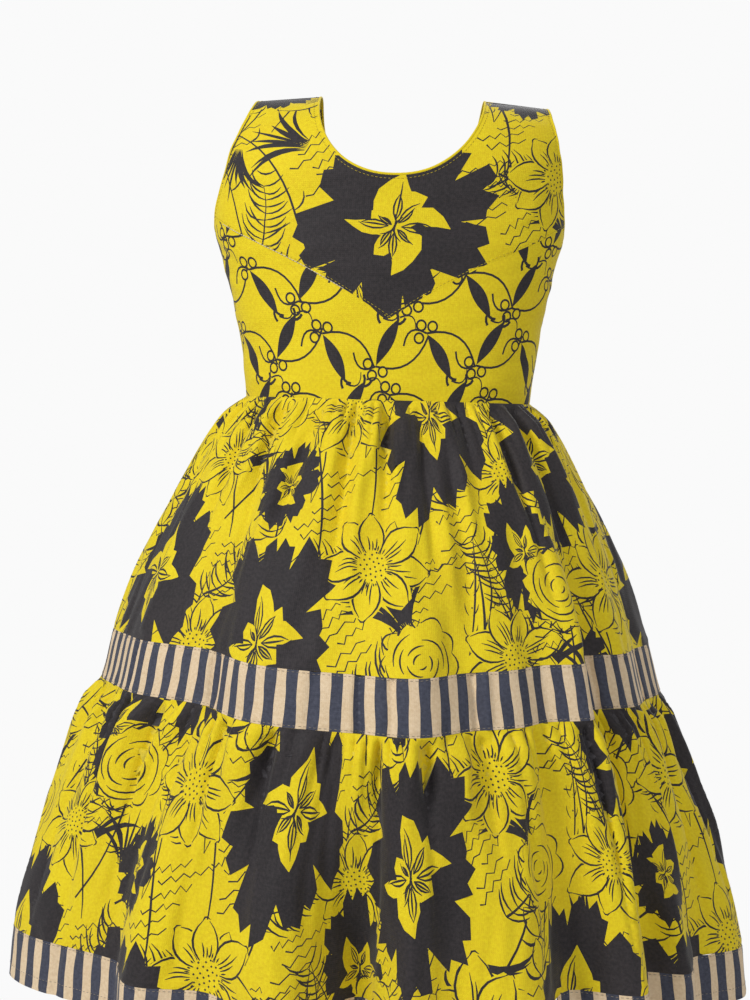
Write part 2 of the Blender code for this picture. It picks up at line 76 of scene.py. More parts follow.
# How far apart two cuts lie at a seam, too close to see through. Half of it is more down the slope of the
# V seam, and at the side seams it is an angle
SEAM_GAP = 0.08
V_GAP = SEAM_GAP / 2 * 1.25
SIDE_ANGLE = 90 - math.degrees(SEAM_GAP / 2 / SIDE_DEPTH)

# The gathers: how many go round half the skirt, the seam they hang from, and how far their ridges, troughs
# and small puckers reach
UPPER_GATHERS = 14
LOWER_GATHERS = 18
WAIST_GATHERS = {"seam": 0, "rise": 6.0, "trough": 6.6, "pucker": 2.6}
BAND_GATHERS = {"seam": MID_BAND_FOOT, "rise": 8.5, "trough": 8.4, "pucker": 3.2}

# The cloth: its thickness, how far apart the mesh's points lie on a printed cut and on a band, how much
# closer on the rim and wider on the wrong side, and the least area of a shape that shows on the wrong side
CLOTH = 0.6
PRINT_MESH = 3.8
BAND_MESH = 2.8
RIM_MESH_SHARE = 0.7
WRONG_SIDE_MESH_SHARE = 1.4
BROAD = 110.0

# How far below their seam the gathers of a tier need a closer mesh
UPPER_CLOSE_MESH = 90
LOWER_CLOSE_MESH = 70

# The flat map's units for a millimetre, the weave's threads as drawn, and how much of a band's pitch is dark
UV_PER_MM = 0.01
DRAWN_THREAD = 1.5
STRIPE_SHARE = 0.52

# The waist's seam allowance: its height, how far in it lies, and where it stops beside the zip, in degrees
ALLOWANCE = 11
ALLOWANCE_IN = 1.2
ALLOWANCE_FROM_ZIP = 8

# The roll of a turned edge: its sides, and its half-height and half-width
ROLL_SIDES = 8
ROLL_HIGH = 0.8
ROLL_WIDE = 1.0

# The zip's chain: the slider above it, where it starts, and how far out and aside its rows of loops lie
SLIDER_BELOW_NECK = 1.5
SLIDER_LENGTH = 11
CHAIN_START = BACK_NECK_DROP + SLIDER_BELOW_NECK + SLIDER_LENGTH + SEAM_GAP
CHAIN_OUT = 0.6
COIL_ASIDE = 1.05

# How far the rows of stitches lie from a turned edge, the V seam, the zip, a band's edge and the hem
EDGE_STITCH = 3.4
SEAM_STITCH = 1.7
ZIP_STITCH = 4.5
BAND_STITCH = 1.6
HEM_STITCH = 9.5


def table(columns, *rows):
    """A table with named columns, as a dictionary of arrays."""
    return dict(zip(columns.split(), np.array(rows, float).T))


# The bodice's tube: its half-width at the sides, and its depths before and behind the side seams
BODICE = table(
    "drop side front back centre squareness",
    (0, 138, 80, 76, 5, 2.4),
    (40, 138, 80, 76, 1.5, 2.4),
    (76, 138, 80, 76, -1.5, 2.4),
    (104, 137.5, 80.5, 76, -3, 2.4),
    (140, 128.5, 82, 77, -2, 2.4),
    (170, 122, 82, 78, -1, 2.4),
    (197, 117, 82, 79, 0, 2.4),
    (238, 112, 82, 80, 0, 2.4),
)
ARMHOLE = table(
    "drop angle",
    (0, 51),
    (17, 54),
    (39, 59),
    (70, 66.5),
    (86, 72),
    (97, 77.5),
    (104, 83),
    (UNDERARM_DROP, 90),
)
SKIRT = table(
    "drop side front back centre front_squareness back_squareness",
    (0, 112, 82, 80, 0, 2.4, 2.4),
    (12, 122, 94, 92, 0, 2.3, 2.35),
    (30, 136, 110, 107, 0, 2.15, 2.3),
    (61, 155, 133, 129, 0, 2.0, 2.2),
    (88, 170, 153, 147, 0, 1.9, 2.1),
    (128, 190, 180, 171, 0, 1.8, 2.0),
    (187, 211, 211, 197, 0, 1.75, 2.0),
    (226, 221, 218, 205, 1, 1.75, 2.0),
    (266, 240, 222, 214, 1, 1.75, 2.0),
    (337, 268, 226, 224, 2, 1.75, 2.0),
    (418, 288, 230, 232, 4, 1.75, 2.0),
    (457, 292, 232, 236, 5, 1.75, 2.0),
)
# The big folds: each row is a crest and the hollow after it, and how far each lies out
BAND_FOLDS = table(
    "crest rise hollow fall",
    (-88, 3, -72, -2),
    (-60, 1, -41, -12),
    (-24, 5, -5, -6),
    (7, 6, 17, -4),
    (27, 3, 33, -1),
    (42, 13, 49, -12),
    (62, 2, 74, -4),
    (88, 3, 101, -5),
    (115, 5, 129, -6),
    (142, 6, 155, -5),
    (169, 4, 184, -4),
    (198, 6, 210, -6),
    (222, 5, 236, -5),
    (249, 4, 260, -3),
)
HEM_FOLDS = table(
    "crest rise hollow fall",
    (-76, 9, -47, -14),
    (-37, 15, -26, -7),
    (-14, 12, -3, -46),
    (5, 12, 11, 2),
    (20, 17, 32, -20),
    (41, 15, 49, -18),
    (55, 5, 64, -13),
    (77, 8, 90, -7),
    (103, 12, 114, -12),
    (126, 16, 138, -15),
    (149, 12, 160, -18),
    (172, 15, 183, -13),
    (194, 14, 206, -16),
    (217, 13, 228, -18),
    (239, 15, 251, -12),
    (262, 8, 273, -4),
)
# Soft creases on the front: where each starts and ends, its half-width and how far it stands out
UPPER_CREASES = table(
    "angle drop last_angle last_drop half_width rise",
    (-7, 20, -9, 176, 5, 3.9),
    (-15, 10, -17, 120, 4, 2.7),
    (-11, 24, -12.5, 150, 4.5, -2.4),
    (15, 18, 16, 172, 5, 3.3),
    (21, 14, 23, 150, 4, 2.5),
    (18, 30, 19.5, 160, 4, -2.2),
    (2, 12, 4, 96, 3.5, 2.2),
    (-28, 14, -33, 130, 5, 3.0),
    (-40, 10, -47, 110, 4, 2.4),
    (-35, 40, -40, 165, 6, -3.0),
    (33, 12, 38, 140, 5, 3.0),
    (45, 20, 52, 168, 6, 3.3),
    (58, 12, 66, 120, 5, 2.5),
    (-60, 12, -67, 150, 5, 2.8),
    (-74, 20, -80, 130, 5, 2.2),
    (72, 30, 79, 160, 6, 2.4),
)
LOWER_CREASES = table(
    "angle drop last_angle last_drop half_width rise",
    (-78, 236, -80, 380, 6, 3.7),
    (-66, 232, -69, 330, 5, -3.4),
    (-57, 240, -60, 400, 6, 4.1),
    (-46, 232, -50, 310, 4, 3.1),
    (-30, 234, -31, 360, 5, 3.7),
    (-20, 232, -21, 300, 4, -3.1),
    (-9, 236, -9, 340, 4.5, 3.4),
    (2, 232, 1, 320, 4, 2.7),
    (9, 238, 8, 410, 5, 3.4),
    (15, 232, 15, 300, 4, 3.1),
    (25, 236, 26, 390, 5, -3.4),
    (37, 232, 37, 330, 4.5, 3.7),
    (46, 240, 47, 350, 4, 3.1),
    (59, 234, 60, 400, 5, 3.7),
    (69, 232, 71, 330, 5, -3.1),
    (81, 238, 83, 400, 6, 3.7),
)
# The pinched places of the middle band and the soft waves of the hem band
MID_BAND_CREASES = table(
    "angle drop last_angle last_drop half_width rise",
    (-39, 176, -38, 250, 3.6, -4.6),
    (-35.5, 172, -35.5, 252, 3.1, -3.0),
    (-63, 170, -64, 256, 3.0, -3.0),
    (-12, 176, -13, 246, 3.5, -1.8),
    (-4, 172, -3.5, 254, 3.3, -4.0),
    (2, 170, 1.5, 250, 3.1, -3.4),
    (18, 172, 18.5, 252, 3.4, -4.4),
    (21, 176, 21, 240, 3.0, 2.4),
    (33, 176, 34, 246, 3.5, -1.6),
    (52, 172, 53, 252, 3.4, -4.0),
    (60, 174, 60, 250, 3.0, -2.4),
    (74, 176, 75, 246, 3.0, -3.0),
)
HEM_BAND_CREASES = table(
    "angle drop last_angle last_drop half_width rise",
    (-60, 400, -61, 480, 5, -2.4),
    (-44, 404, -44, 480, 4, 2.0),
    (-20, 404, -20, 476, 4, -2.2),
    (8, 404, 8, 480, 4, -2.0),
    (27, 400, 27, 480, 5, 2.4),
    (46, 404, 46, 476, 4, -2.2),
    (68, 404, 68, 480, 5, 2.2),
)
BODICE_CREASES = table(
    "angle drop last_angle last_drop half_width rise",
    (-84, 118, -52, 142, 5, -1.1),
    (-86, 134, -58, 160, 6, 1.0),
    (84, 120, 50, 146, 5, -1.1),
    (86, 138, 60, 166, 6, 1.0),
    (-80, 200, -44, 214, 5, -1.0),
    (80, 196, 40, 212, 5, -1.0),
    (-30, 206, 22, 226, 6, -0.9),
    (-58, 60, -40, 118, 6, 1.0),
    (58, 56, 38, 112, 6, 1.0),
    (-66, 222, -30, 230, 4, 0.9),
    (30, 222, 68, 228, 4, 0.9),
)


def ease(t):
    """0 to 1 with level ends, as t goes from 0 to 1."""
    t = np.clip(t, 0, 1)
    return t * t * (3 - 2 * t)


def unit(vectors):
    """The vectors, each made one long."""
    return vectors / np.maximum(np.linalg.norm(vectors, axis=-1, keepdims=True), 1e-9)


def run_along(points):
    """How far along a line each of its points lies."""
    return np.concatenate([[0], np.cumsum(np.linalg.norm(np.diff(points, axis=0), axis=1))])


def smooth_curve(rows, column):
    """A curve through one column of a table, against its first column, that never overshoots a row."""
    at = next(iter(rows.values()))
    values = rows[column]
    step = np.diff(at)
    slope = np.diff(values) / step
    tangent = np.concatenate([slope[:1], np.zeros(len(at) - 2), slope[-1:]])
    for i in range(1, len(at) - 1):
        if slope[i - 1] * slope[i] > 0:
            tangent[i] = 2 * slope[i - 1] * slope[i] / (slope[i - 1] + slope[i])

    def value(where):
        where = np.clip(where, at[0], at[-1])
        i = np.clip(np.searchsorted(at, where, side="right") - 1, 0, len(step) - 1)
        t = (where - at[i]) / step[i]
        rise = tangent[i] * step[i] * t * (1 - t) ** 2 - tangent[i + 1] * step[i] * t**2 * (1 - t)
        return values[i] * (1 - ease(t)) + values[i + 1] * ease(t) + rise

    return value


def ring(angle, side, depth, squareness):
    """A point on a rounded section, as its distance to the side and its distance before the side seams."""
    across, out = np.sin(np.radians(angle)), np.cos(np.radians(angle))
    scale = (np.abs(across) ** squareness + np.abs(out) ** squareness) ** (-1 / squareness)
    return side * across * scale, depth * out * scale


def bodice_point(angle, path):
    """The bodice's middle surface. path runs from the top of the shoulder down the front, and as a negative
    number down the back."""
    angle, path = np.broadcast_arrays(np.asarray(angle, float), np.asarray(path, float))
    turn = np.clip(np.abs(path) / SHOULDER_ARC, 0, 1) * math.pi / 2
    drop = CHEST_DROP * (1 - np.cos(turn)) + np.maximum(np.abs(path) - SHOULDER_ARC, 0)
    is_back = path < 0
    shape = {name: smooth_curve(BODICE, name)(drop) for name in list(BODICE)[1:]}
    depth = np.where(is_back, shape["back"], shape["front"]) * np.sin(turn)
    across, out = ring(angle, shape["side"], depth, shape["squareness"])
    slope = SHOULDER_SLOPE * np.clip(np.abs(across) - 40, 0, None) / 72 * (1 - ease(drop / 60))
    return np.stack([shape["centre"] + across, np.where(is_back, out, -out), -drop - slope], -1)


def path_at(drop):
    """How far down the bodice's surface, from the top of the shoulder, a drop lies."""
    drop = np.asarray(drop, float)
    turn = np.arccos(np.clip(1 - drop / CHEST_DROP, 0, 1))
    return turn / (math.pi / 2) * SHOULDER_ARC + np.maximum(drop - CHEST_DROP, 0)


def drop_at(path):
    """The drop below the shoulder of a distance down the bodice's surface."""
    turn = np.clip(np.abs(path) / SHOULDER_ARC, 0, 1) * math.pi / 2
    return CHEST_DROP * (1 - np.cos(turn)) + np.maximum(np.abs(path) - SHOULDER_ARC, 0)


def angle_at(across, drop):
    """The angle at which the bodice's tube is this far to the side."""
    side = smooth_curve(BODICE, "side")(drop)
    squareness = smooth_curve(BODICE, "squareness")(drop)
    part = np.clip(np.abs(across) / side, 0, 1)
    return np.sign(across) * np.degrees(np.arctan2(part, (1 - part**squareness) ** (1 / squareness)))


def fold_wave(angle, folds):
    """How far the big folds push the skirt out at an angle, eased from each crest to its hollow."""
    at = np.stack([folds["crest"], folds["hollow"]], 1).ravel()
    push = np.stack([folds["rise"], folds["fall"]], 1).ravel()
    at = np.concatenate([at - 360, at, at + 360])
    push = np.concatenate([push, push, push])
    i = np.clip(np.searchsorted(at, angle, side="right") - 1, 0, len(at) - 2)
    return push[i] + (push[i + 1] - push[i]) * ease((angle - at[i]) / (at[i + 1] - at[i]))


def gather_wave(gather, below, rise):
    """How far the gathers push out, below their seam. Each has a height and a length of its own."""
    number = np.floor(gather)
    strength = 0.85 + 0.3 * np.sin(2.4 * number + 1) + 0.15 * np.sin(5.3 * number)
    length = 75 + 30 * np.sin(3.7 * number + 0.5)
    height = rise * strength * (0.08 + 0.92 * ease(below / 16)) * np.exp(-((below / length) ** 2))
    return height * np.sin(math.pi * gather) ** 2


def near_zip(angle, drop):
    """1 beside the zip, where the cloth is held flat, fading to 0 away from it and below it."""
    from_back = np.abs(angle % 360 - 180)
    return (1 - ease((from_back - ZIP_FLAT) / 12)) * (1 - ease((drop - ZIP_END) / 60))


def skirt_point(angle, drop, gather=0.0, hang=None):
    """The skirt's middle surface at a drop below the waist, with any gathers that hang from a seam."""
    angle, drop = np.broadcast_arrays(np.asarray(angle, float), np.asarray(drop, float))
    shape = {name: smooth_curve(SKIRT, name)(drop) for name in list(SKIRT)[1:]}
    is_back = np.cos(np.radians(angle)) < 0
    depth = np.where(is_back, shape["back"], shape["front"])
    squareness = np.where(is_back, shape["back_squareness"], shape["front_squareness"])
    x, out = ring(angle, shape["side"], depth, squareness)
    ahead_x, ahead_out = ring(angle + 0.05, shape["side"], depth, squareness)
    along = unit(np.stack([ahead_x - x, out - ahead_out], -1))
    flare = ease(drop / MID_BAND_TOP)
    deepen = ease((drop - MID_BAND_FOOT) / (HEM_BAND_TOP - MID_BAND_FOOT))
    push = flare * ((1 - deepen) * fold_wave(angle, BAND_FOLDS) + deepen * fold_wave(angle, HEM_FOLDS))
    if hang:
        push = push + gather_wave(gather, drop - hang["seam"], hang["rise"])
    push = push * (1 - near_zip(angle, drop))
    lift = SIDE_LIFT * flare * np.sin(2 * np.radians(angle)) ** 2
    x = shape["centre"] + x + along[..., 1] * push
    return np.stack([x, -out - along[..., 0] * push, -WAIST_DROP - drop + lift], -1)


# How far round the bodice an angle lies from the centre line, along a section at the chest
GIRTH_ANGLES = np.linspace(0, 100, 401)
CHEST = {"side": 132, "depth": 79, "squareness": 2.4}
GIRTH = run_along(np.stack(ring(GIRTH_ANGLES, **CHEST), -1))
GIRTH_PER_DEGREE = GIRTH[-1] / GIRTH_ANGLES[-1]


def across_at(angle):
    """How far round the bodice from the centre line an angle lies."""
    return np.sign(angle) * np.interp(np.abs(angle), GIRTH_ANGLES, GIRTH)


def angle_of(across):
    """The angle at a distance round the bodice from the centre line."""
    return np.sign(across) * np.interp(np.abs(across), GIRTH, GIRTH_ANGLES)


def gather_creases(gather, below, pitch, hang):
    """The sharp troughs between the gathers, and the small puckers close under the gathering thread."""
    number = np.round(gather)
    depth = hang["trough"] * (0.72 + 0.42 * np.sin(1.9 * number + 0.4))
    half_width = 4.0 + 0.7 * np.sin(2.9 * number)
    length = 62 + 75 * np.abs(np.sin(2.3 * number))
    near = (gather - number) * pitch
    trough = -depth * ease(below / 9) * np.exp(-((below / length) ** 2)) * np.exp(-((near / half_width) ** 2))
    fine = np.abs(np.sin(math.pi * (3 * gather + 0.5 * np.sin(2.1 * gather)))) - 0.6
    return trough + hang["pucker"] * fine * ease(below / 5) * np.exp(-((below / 34) ** 2))


def rumple(across, down, high):
    """The faint unevenness of cloth long in use, which runs longer down a piece than across it."""
    drift = 11 * np.sin(down / 41 + across / 67) + 5 * np.sin(across / 29)
    narrow = np.sin((across + drift) / 3.9) * np.sin(down / 26 + across / 17)
    return high * (narrow + 0.9 * np.sin((across - 0.8 * drift) / 7.1 + down / 33))


def seam_pucker(across, from_seam):
    """The small ripples beside a stitched seam."""
    ripple = np.sin(across / 3.3 + 1.5 * np.sin(across / 31)) + 0.6 * np.sin(across / 7.9)
    return 0.5 * ripple * np.exp(-((from_seam / 9) ** 2)) * ease(from_seam / 2.5)


def crease_push(angle, drop, creases, mm_per_degree):
    """How far the soft creases push the cloth out: each is a ridge or trough that fades towards its ends."""
    spot = np.stack([angle * mm_per_degree, drop], -1)
    push = np.zeros(np.shape(angle))
    for a0, d0, a1, d1, half_width, rise in zip(*creases.values()):
        start = np.array([a0 * mm_per_degree, d0])
        run = np.array([a1 * mm_per_degree, d1]) - start
        along = run / np.linalg.norm(run)
        part = (spot - start) @ along / np.linalg.norm(run)
        bow = 2.5 * np.sin(math.pi * np.clip(part, 0, 1)) * math.sin(3 * a0)
        aside = (spot - start) @ np.array([-along[1], along[0]]) - bow
        fade = ease(part / 0.3) * ease((1 - part) / 0.45)
        push += rise * fade * np.exp(-((aside / half_width) ** 2))
    return push


# The cut of each piece, laid on the frame


def skirt_cut(start, end, top, foot, columns=0, hang=None, first_gather=0, zip_side=0, creases=None):
    """A skirt panel between two angles and two drops. It gives the flat cut's width and length, and the
    function that lays flat spots on the skirt. Its width is what its lower edge measures along the folds."""
    half = SEAM_GAP / 2
    top += half
    foot -= half if foot < HEM else 0
    edge_angle = np.linspace(start, end, 2400)
    run = run_along(skirt_point(edge_angle, foot))
    part = np.linspace(0, 1, 400)
    uneven = part + 0.006 * np.sin(2 * math.pi * 3 * part) + 0.004 * np.sin(2 * math.pi * 5 * part)
    drops = np.linspace(top, foot, 200)
    flares = (smooth_curve(SKIRT, "side")(drops) + smooth_curve(SKIRT, "front")(drops)) / 2
    slant = run_along(np.stack([drops, flares], -1))
    facing = 0 if -90 <= start < 90 else 180

    def gather_at(angle):
        return first_gather + np.interp((angle - start) / (end - start), uneven, part) * columns

    def on_surface(angle, drop):
        return skirt_point(angle, drop, gather_at(angle), hang)

    def lay(spots):
        angle = np.interp(spots[:, 0], run, edge_angle)
        drop = np.interp(spots[:, 1], slant, drops)
        gap = np.full(len(spots), half)
        side_gap = np.degrees(gap / smooth_curve(SKIRT, "front")(drop))
        if zip_side:
            gap += (ZIP_OPENING / 2 - half) * (1 - ease((drop - ZIP_END) / ZIP_TAPER))
        zip_gap = np.degrees(gap / smooth_curve(SKIRT, "side")(drop))
        first = start + (zip_gap if zip_side < 0 else side_gap)
        last = end - (zip_gap if zip_side > 0 else side_gap)
        angle = first + (last - first) * (angle - start) / (end - start)
        point = on_surface(angle, drop)
        along = on_surface(angle + 0.2, drop) - on_surface(angle - 0.2, drop)
        down = on_surface(angle, drop + 0.5) - on_surface(angle, drop - 0.5)
        out = unit(np.cross(down, along))
        turn = (angle - facing + 180) % 360 - 180
        mm_per_degree = np.radians(1) * 0.5 * (flares[0] + flares[-1])
        push = crease_push(turn if facing == 0 else -turn, drop, creases, mm_per_degree)
        from_foot = slant[-1] - spots[:, 1]
        if hang:
            below = drop - hang["seam"]
            girth = smooth_curve(SKIRT, "side")(drop) + smooth_curve(SKIRT, "front")(drop)
            pitch = math.pi / 2 * girth * (end - start) / 180 / columns
            push = push + gather_creases(gather_at(angle), below, pitch, hang) * (1 - near_zip(angle, drop))
            push = (push + rumple(spots[:, 0], spots[:, 1], 0.75) * ease(below / 20)) * ease(from_foot / 12)
        else:
            push = push + seam_pucker(spots[:, 0] + 40, spots[:, 1])
        push = push + seam_pucker(spots[:, 0], from_foot)
        return point + out * np.reshape(push, (-1, 1))

    return run[-1], slant[-1], lay


def lay_bodice(spots):
    """Flat spots laid on the bodice: across from the centre line, and down the front from the shoulder, or
    down the back where that is negative."""
    angle, path = angle_of(spots[:, 0]), spots[:, 1]
    along = bodice_point(angle + 0.1, path) - bodice_point(angle - 0.1, path)
    down = bodice_point(angle, path + 0.1) - bodice_point(angle, path - 0.1)
    out = unit(np.cross(down, along))
    facing = np.where(path < 0, -1, 1)
    push = crease_push(angle * facing, drop_at(path), BODICE_CREASES, GIRTH_PER_DEGREE)
    push = push + rumple(path, spots[:, 0] * 1.3, 0.3) * ease(np.abs(path) / 90)
    return bodice_point(angle, path) + out * np.reshape(push, (-1, 1))


def shoulder_seam_drop():
    """How far below the shoulder's top its seam lies, as the seam is a little way down the front."""
    return CHEST_DROP * (1 - math.cos(SHOULDER_SEAM_FORWARD / SHOULDER_ARC * math.pi / 2))


def neckline(neck_drop, side, steps=28):
    """The neck's edge from the shoulder seam to the centre, as (angle, drop) rows."""
    start = shoulder_seam_drop()
    drops = start + (neck_drop - start) * np.sin(np.linspace(0, math.pi / 2, steps)) ** 1.2
    part = np.clip(drops / neck_drop, 0, 1)
    across = NECK_HALF_WIDTH * (1 - part**NECK_ROUNDNESS) ** (1 / NECK_ROUNDNESS)
    return [(side * angle_at(x, d), d) for x, d in zip(across, drops)]


def armhole(side, top, foot, steps=30):
    """The armhole's edge between two drops, as (angle, drop) rows."""
    edge = smooth_curve(ARMHOLE, "angle")
    return [(side * float(edge(d)), d) for d in np.linspace(top, foot, steps)]


def yoke_line(side, shift, steps=30):
    """The yoke's V seam from the centre to the armhole, moved down by a shift."""
    rows = []
    last = float(smooth_curve(ARMHOLE, "angle")(YOKE_SIDE_DROP + shift))
    for part in np.linspace(0, 1, steps + 1):
        climb = 0.7 * math.sin(part * math.pi / 2) + 0.3 * part
        drop = YOKE_POINT_DROP - (YOKE_POINT_DROP - YOKE_SIDE_DROP) * climb
        rows.append((side * last * part, drop + shift))
    return rows


def flat_run(rows, facing=1):
    """(angle, drop) rows as flat spots on the front, or on the back where facing is -1."""
    return [(float(across_at(angle)), facing * float(path_at(drop))) for angle, drop in rows]


def front_neck():
    """The front's neck edge, from the left shoulder seam round to the right one."""
    left, right = (flat_run(neckline(FRONT_NECK_DROP, side)) for side in (-1, 1))
    return left + right[::-1][1:]


def front_armhole(side):
    """The yoke's armhole edge, from the shoulder seam down to its V seam."""
    return flat_run(armhole(side, shoulder_seam_drop(), YOKE_SIDE_DROP - V_GAP))


def v_seam(side, shift):
    """One side of the V seam on the flat cut, moved down by a shift."""
    return flat_run(yoke_line(side, shift))


def yoke_outline():
    """The yoke with its straps: down the right armhole, along the V and up the left armhole to the neck."""
    right = front_armhole(1) + v_seam(1, -V_GAP)[::-1][1:]
    left = v_seam(-1, -V_GAP)[1:] + front_armhole(-1)[::-1][1:]
    return right + left + front_neck()[1:-1]


def low_armhole(side):
    """The lower front's share of the armhole, from the V seam to the side seam."""
    rows = armhole(side, YOKE_SIDE_DROP + V_GAP, UNDERARM_DROP, 6)
    return flat_run(rows[:-1] + [(side * SIDE_ANGLE, UNDERARM_DROP)])


def lower_front_outline():
    """The lower front, from the V's point round each armhole and side seam to the waist."""
    waist = WAIST_DROP - SEAM_GAP / 2
    right, left = (
        v_seam(side, V_GAP) + low_armhole(side)[1:] + flat_run([(side * SIDE_ANGLE, waist)])
        for side in (1, -1)
    )
    return right + left[::-1][:-1]


def back_armhole(side):
    """The back's armhole edge, from the shoulder seam over the shoulder and down to the side seam."""
    rows = flat_run(armhole(side, 0, UNDERARM_DROP, 32), -1)
    edge = float(across_at(side * SIDE_ANGLE))
    top = (float(across_at(side * ARMHOLE["angle"][0])), SHOULDER_SEAM_FORWARD - SEAM_GAP)
    return [top] + rows[:-1] + [(edge, rows[-1][1])]


def beside_zip(side, drop):
    """How far across the cut its edge beside the zip lies."""
    half_opening = math.degrees(ZIP_OPENING / 2 / float(smooth_curve(BODICE, "side")(drop)))
    return float(across_at(side * half_opening))


def back_neck(side):
    """The back's neck edge, from the shoulder seam over the shoulder and round to the zip."""
    inner = float(across_at(side * angle_at(NECK_HALF_WIDTH, 0)))
    rows = flat_run(neckline(BACK_NECK_DROP, side), -1)[:-1]
    rows = [(x, path) for x, path in rows if -path > STRAP_STRAIGHT]
    top = [(inner, SHOULDER_SEAM_FORWARD - SEAM_GAP), (inner, 0.0)]
    return top + rows + [(beside_zip(side, BACK_NECK_DROP), -float(path_at(BACK_NECK_DROP)))]


def back_outline(side):
    """Half of the back with its strap, which passes over the shoulder to the seam before it."""
    waist = -float(path_at(WAIST_DROP - SEAM_GAP / 2))
    foot = [(float(across_at(side * SIDE_ANGLE)), waist), (beside_zip(side, WAIST_DROP), waist)]
    return back_armhole(side) + foot + back_neck(side)[::-1]


# The print, drawn as flat shapes in painter's order: each is its corners and its ink

GROUND, INK = 0, 1


def bow(start, end, bend=0.0, steps=7):
    """A line from start to end that bows to one side by a share of its length."""
    start, end = np.array(start, float), np.array(end, float)
    run = end - start
    part = np.linspace(0, 1, steps)[:, None]
    aside = np.array([-run[1], run[0]]) * bend
    return start + run * part + aside * 4 * part * (1 - part)


def stroke(line, width, taper=(1.0, 1.0), swell=0.0):
    """A line of a width. taper gives the share of it left at each end, and swell widens its middle."""
    line = np.array(line, float)
    along = unit(np.gradient(line, axis=0))
    aside = np.stack([-along[:, 1], along[:, 0]], -1)
    part = np.linspace(0, 1, len(line))
    wide = taper[0] + (taper[1] - taper[0]) * part + swell * np.sin(math.pi * part)
    half = np.maximum(width * wide / 2, 0.12)[:, None]
    return np.concatenate([line + aside * half, (line - aside * half)[::-1]])


def brush(line, width=1.7):
    """A brush line, thin where it starts and ends."""
    return stroke(line, width, (0.4, 0.28), 0.7), INK


def leaf(start, end, width, bend=0.0, steps=9):
    """A leaf or petal with pointed ends."""
    return stroke(bow(start, end, bend, steps), width, (0.02, 0.02), 1.0)


def turned(spots, degrees):
    """Flat spots turned about a motif's middle."""
    c, s = math.cos(math.radians(degrees)), math.sin(math.radians(degrees))
    return np.array(spots) @ np.array([[c, s], [-s, c]])


def placed(motif, x, y, turn=0.0, size=1.0):
    """A motif's shapes, turned, scaled and moved."""
    return [(turned(shape, turn) * size + (x, y), ink) for shape, ink in motif]


def polar(way, out):
    """A spot at an angle in radians and a distance from a motif's middle."""
    return np.array([math.cos(way), math.sin(way)]) * out


def disc(x, y, radius, corners=10):
    """A round spot."""
    return np.array([polar(2 * math.pi * i / corners, radius) + (x, y) for i in range(corners)])


def torn_bloom(seed, radius=65, petals=8):
    """A big dark bloom, taller than it is wide, whose broad petals end in torn corners, with a pale lily for
    its heart."""
    draw = np.random.default_rng(seed)
    corners = []
    for i in range(petals):
        way = 2 * math.pi * (i + draw.uniform(-0.12, 0.12)) / petals
        half = math.pi / petals
        reach = radius * draw.uniform(0.84, 1.1)
        for lean, out in (
            (-1.0, draw.uniform(0.6, 0.76)),
            (-0.82, draw.uniform(0.86, 0.98)),
            (-0.38, draw.uniform(0.92, 1.04)),
            (-0.2, draw.uniform(0.84, 0.92)),
            (0.1, draw.uniform(0.98, 1.08)),
            (0.42, draw.uniform(0.86, 0.96)),
            (0.66, draw.uniform(0.86, 1.0)),
        ):
            corners.append(polar(way + half * lean, reach * out) * (0.94, 1.14))
    shapes = [(np.array(corners), INK)]
    lines = []
    for way, length, wide in (
        (-108, 0.56, 0.24),
        (-66, 0.44, 0.2),
        (-12, 0.56, 0.14),
        (30, 0.32, 0.22),
        (76, 0.5, 0.24),
        (112, 0.36, 0.16),
        (158, 0.5, 0.12),
        (206, 0.28, 0.2),
    ):
        tip = polar(math.radians(way + draw.uniform(-12, 12)), radius * length)
        line = bow(-tip * 0.15, tip, draw.uniform(-0.2, 0.2), 7)
        shapes.append((stroke(line, radius * wide * 1.5, (0.02, 0.02), draw.uniform(0.7, 1.25, 7)), GROUND))
        for lean in (-0.14, 0.02, 0.16):
            lines.append(brush(bow(tip * 0.12, tip * draw.uniform(0.55, 0.85), lean, 5), 1.4))
    for side in (-1, 1):
        lines.append(brush(bow((side * 3, -9), (side * 8, 9), side * 0.3, 6), 1.6))
    return shapes + lines


def brush_daisy(seed, radius=46, petals=8):
    """An open daisy in loose brush lines, with a stippled middle."""
    draw = np.random.default_rng(seed)
    shapes = []
    for i in range(petals):
        way = 360 * i / petals + draw.uniform(-9, 9)
        length = radius * draw.uniform(0.8, 1.14)
        wide = radius * draw.uniform(0.40, 0.5)
        foot, tip = (radius * 0.2, 0), (length, 0)
        petal = [(stroke(bow(foot, tip, 0.0, 6), wide, (0.5, 0.5), 0.7), GROUND)]
        for side in (-1, 1):
            start = (foot[0], side * wide * 0.2)
            petal.append(brush(bow(start, (length * 0.98, side * wide * 0.12), side * 0.24, 7), 1.8))
        petal.append(brush(bow((length * 0.97, -wide * 0.14), (length, wide * 0.16), -0.4, 4), 1.5))
        for lean in (-0.16, 0.02, 0.2):
            end = (length * draw.uniform(0.5, 0.8), lean * wide)
            petal.append(brush(bow((radius * 0.27, lean * wide * 0.6), end, 0.05, 4), 1.3))
        shapes += placed(petal, 0, 0, way)
    shapes.append((disc(0, 0, radius * 0.25, 12), GROUND))
    for i in range(24):
        way, out = 2.4 * i, radius * 0.25 * math.sqrt((i + 0.5) / 24)
        shapes.append((disc(*polar(way, out), 1.0, 4), INK))
    for i in range(20):
        way = 2 * math.pi * i / 20 + draw.uniform(-0.1, 0.1)
        tip = polar(way, radius * draw.uniform(0.32, 0.4))
        shapes.append(brush(bow(polar(way, radius * 0.28), tip, 0, 3), 1.3))
    return shapes


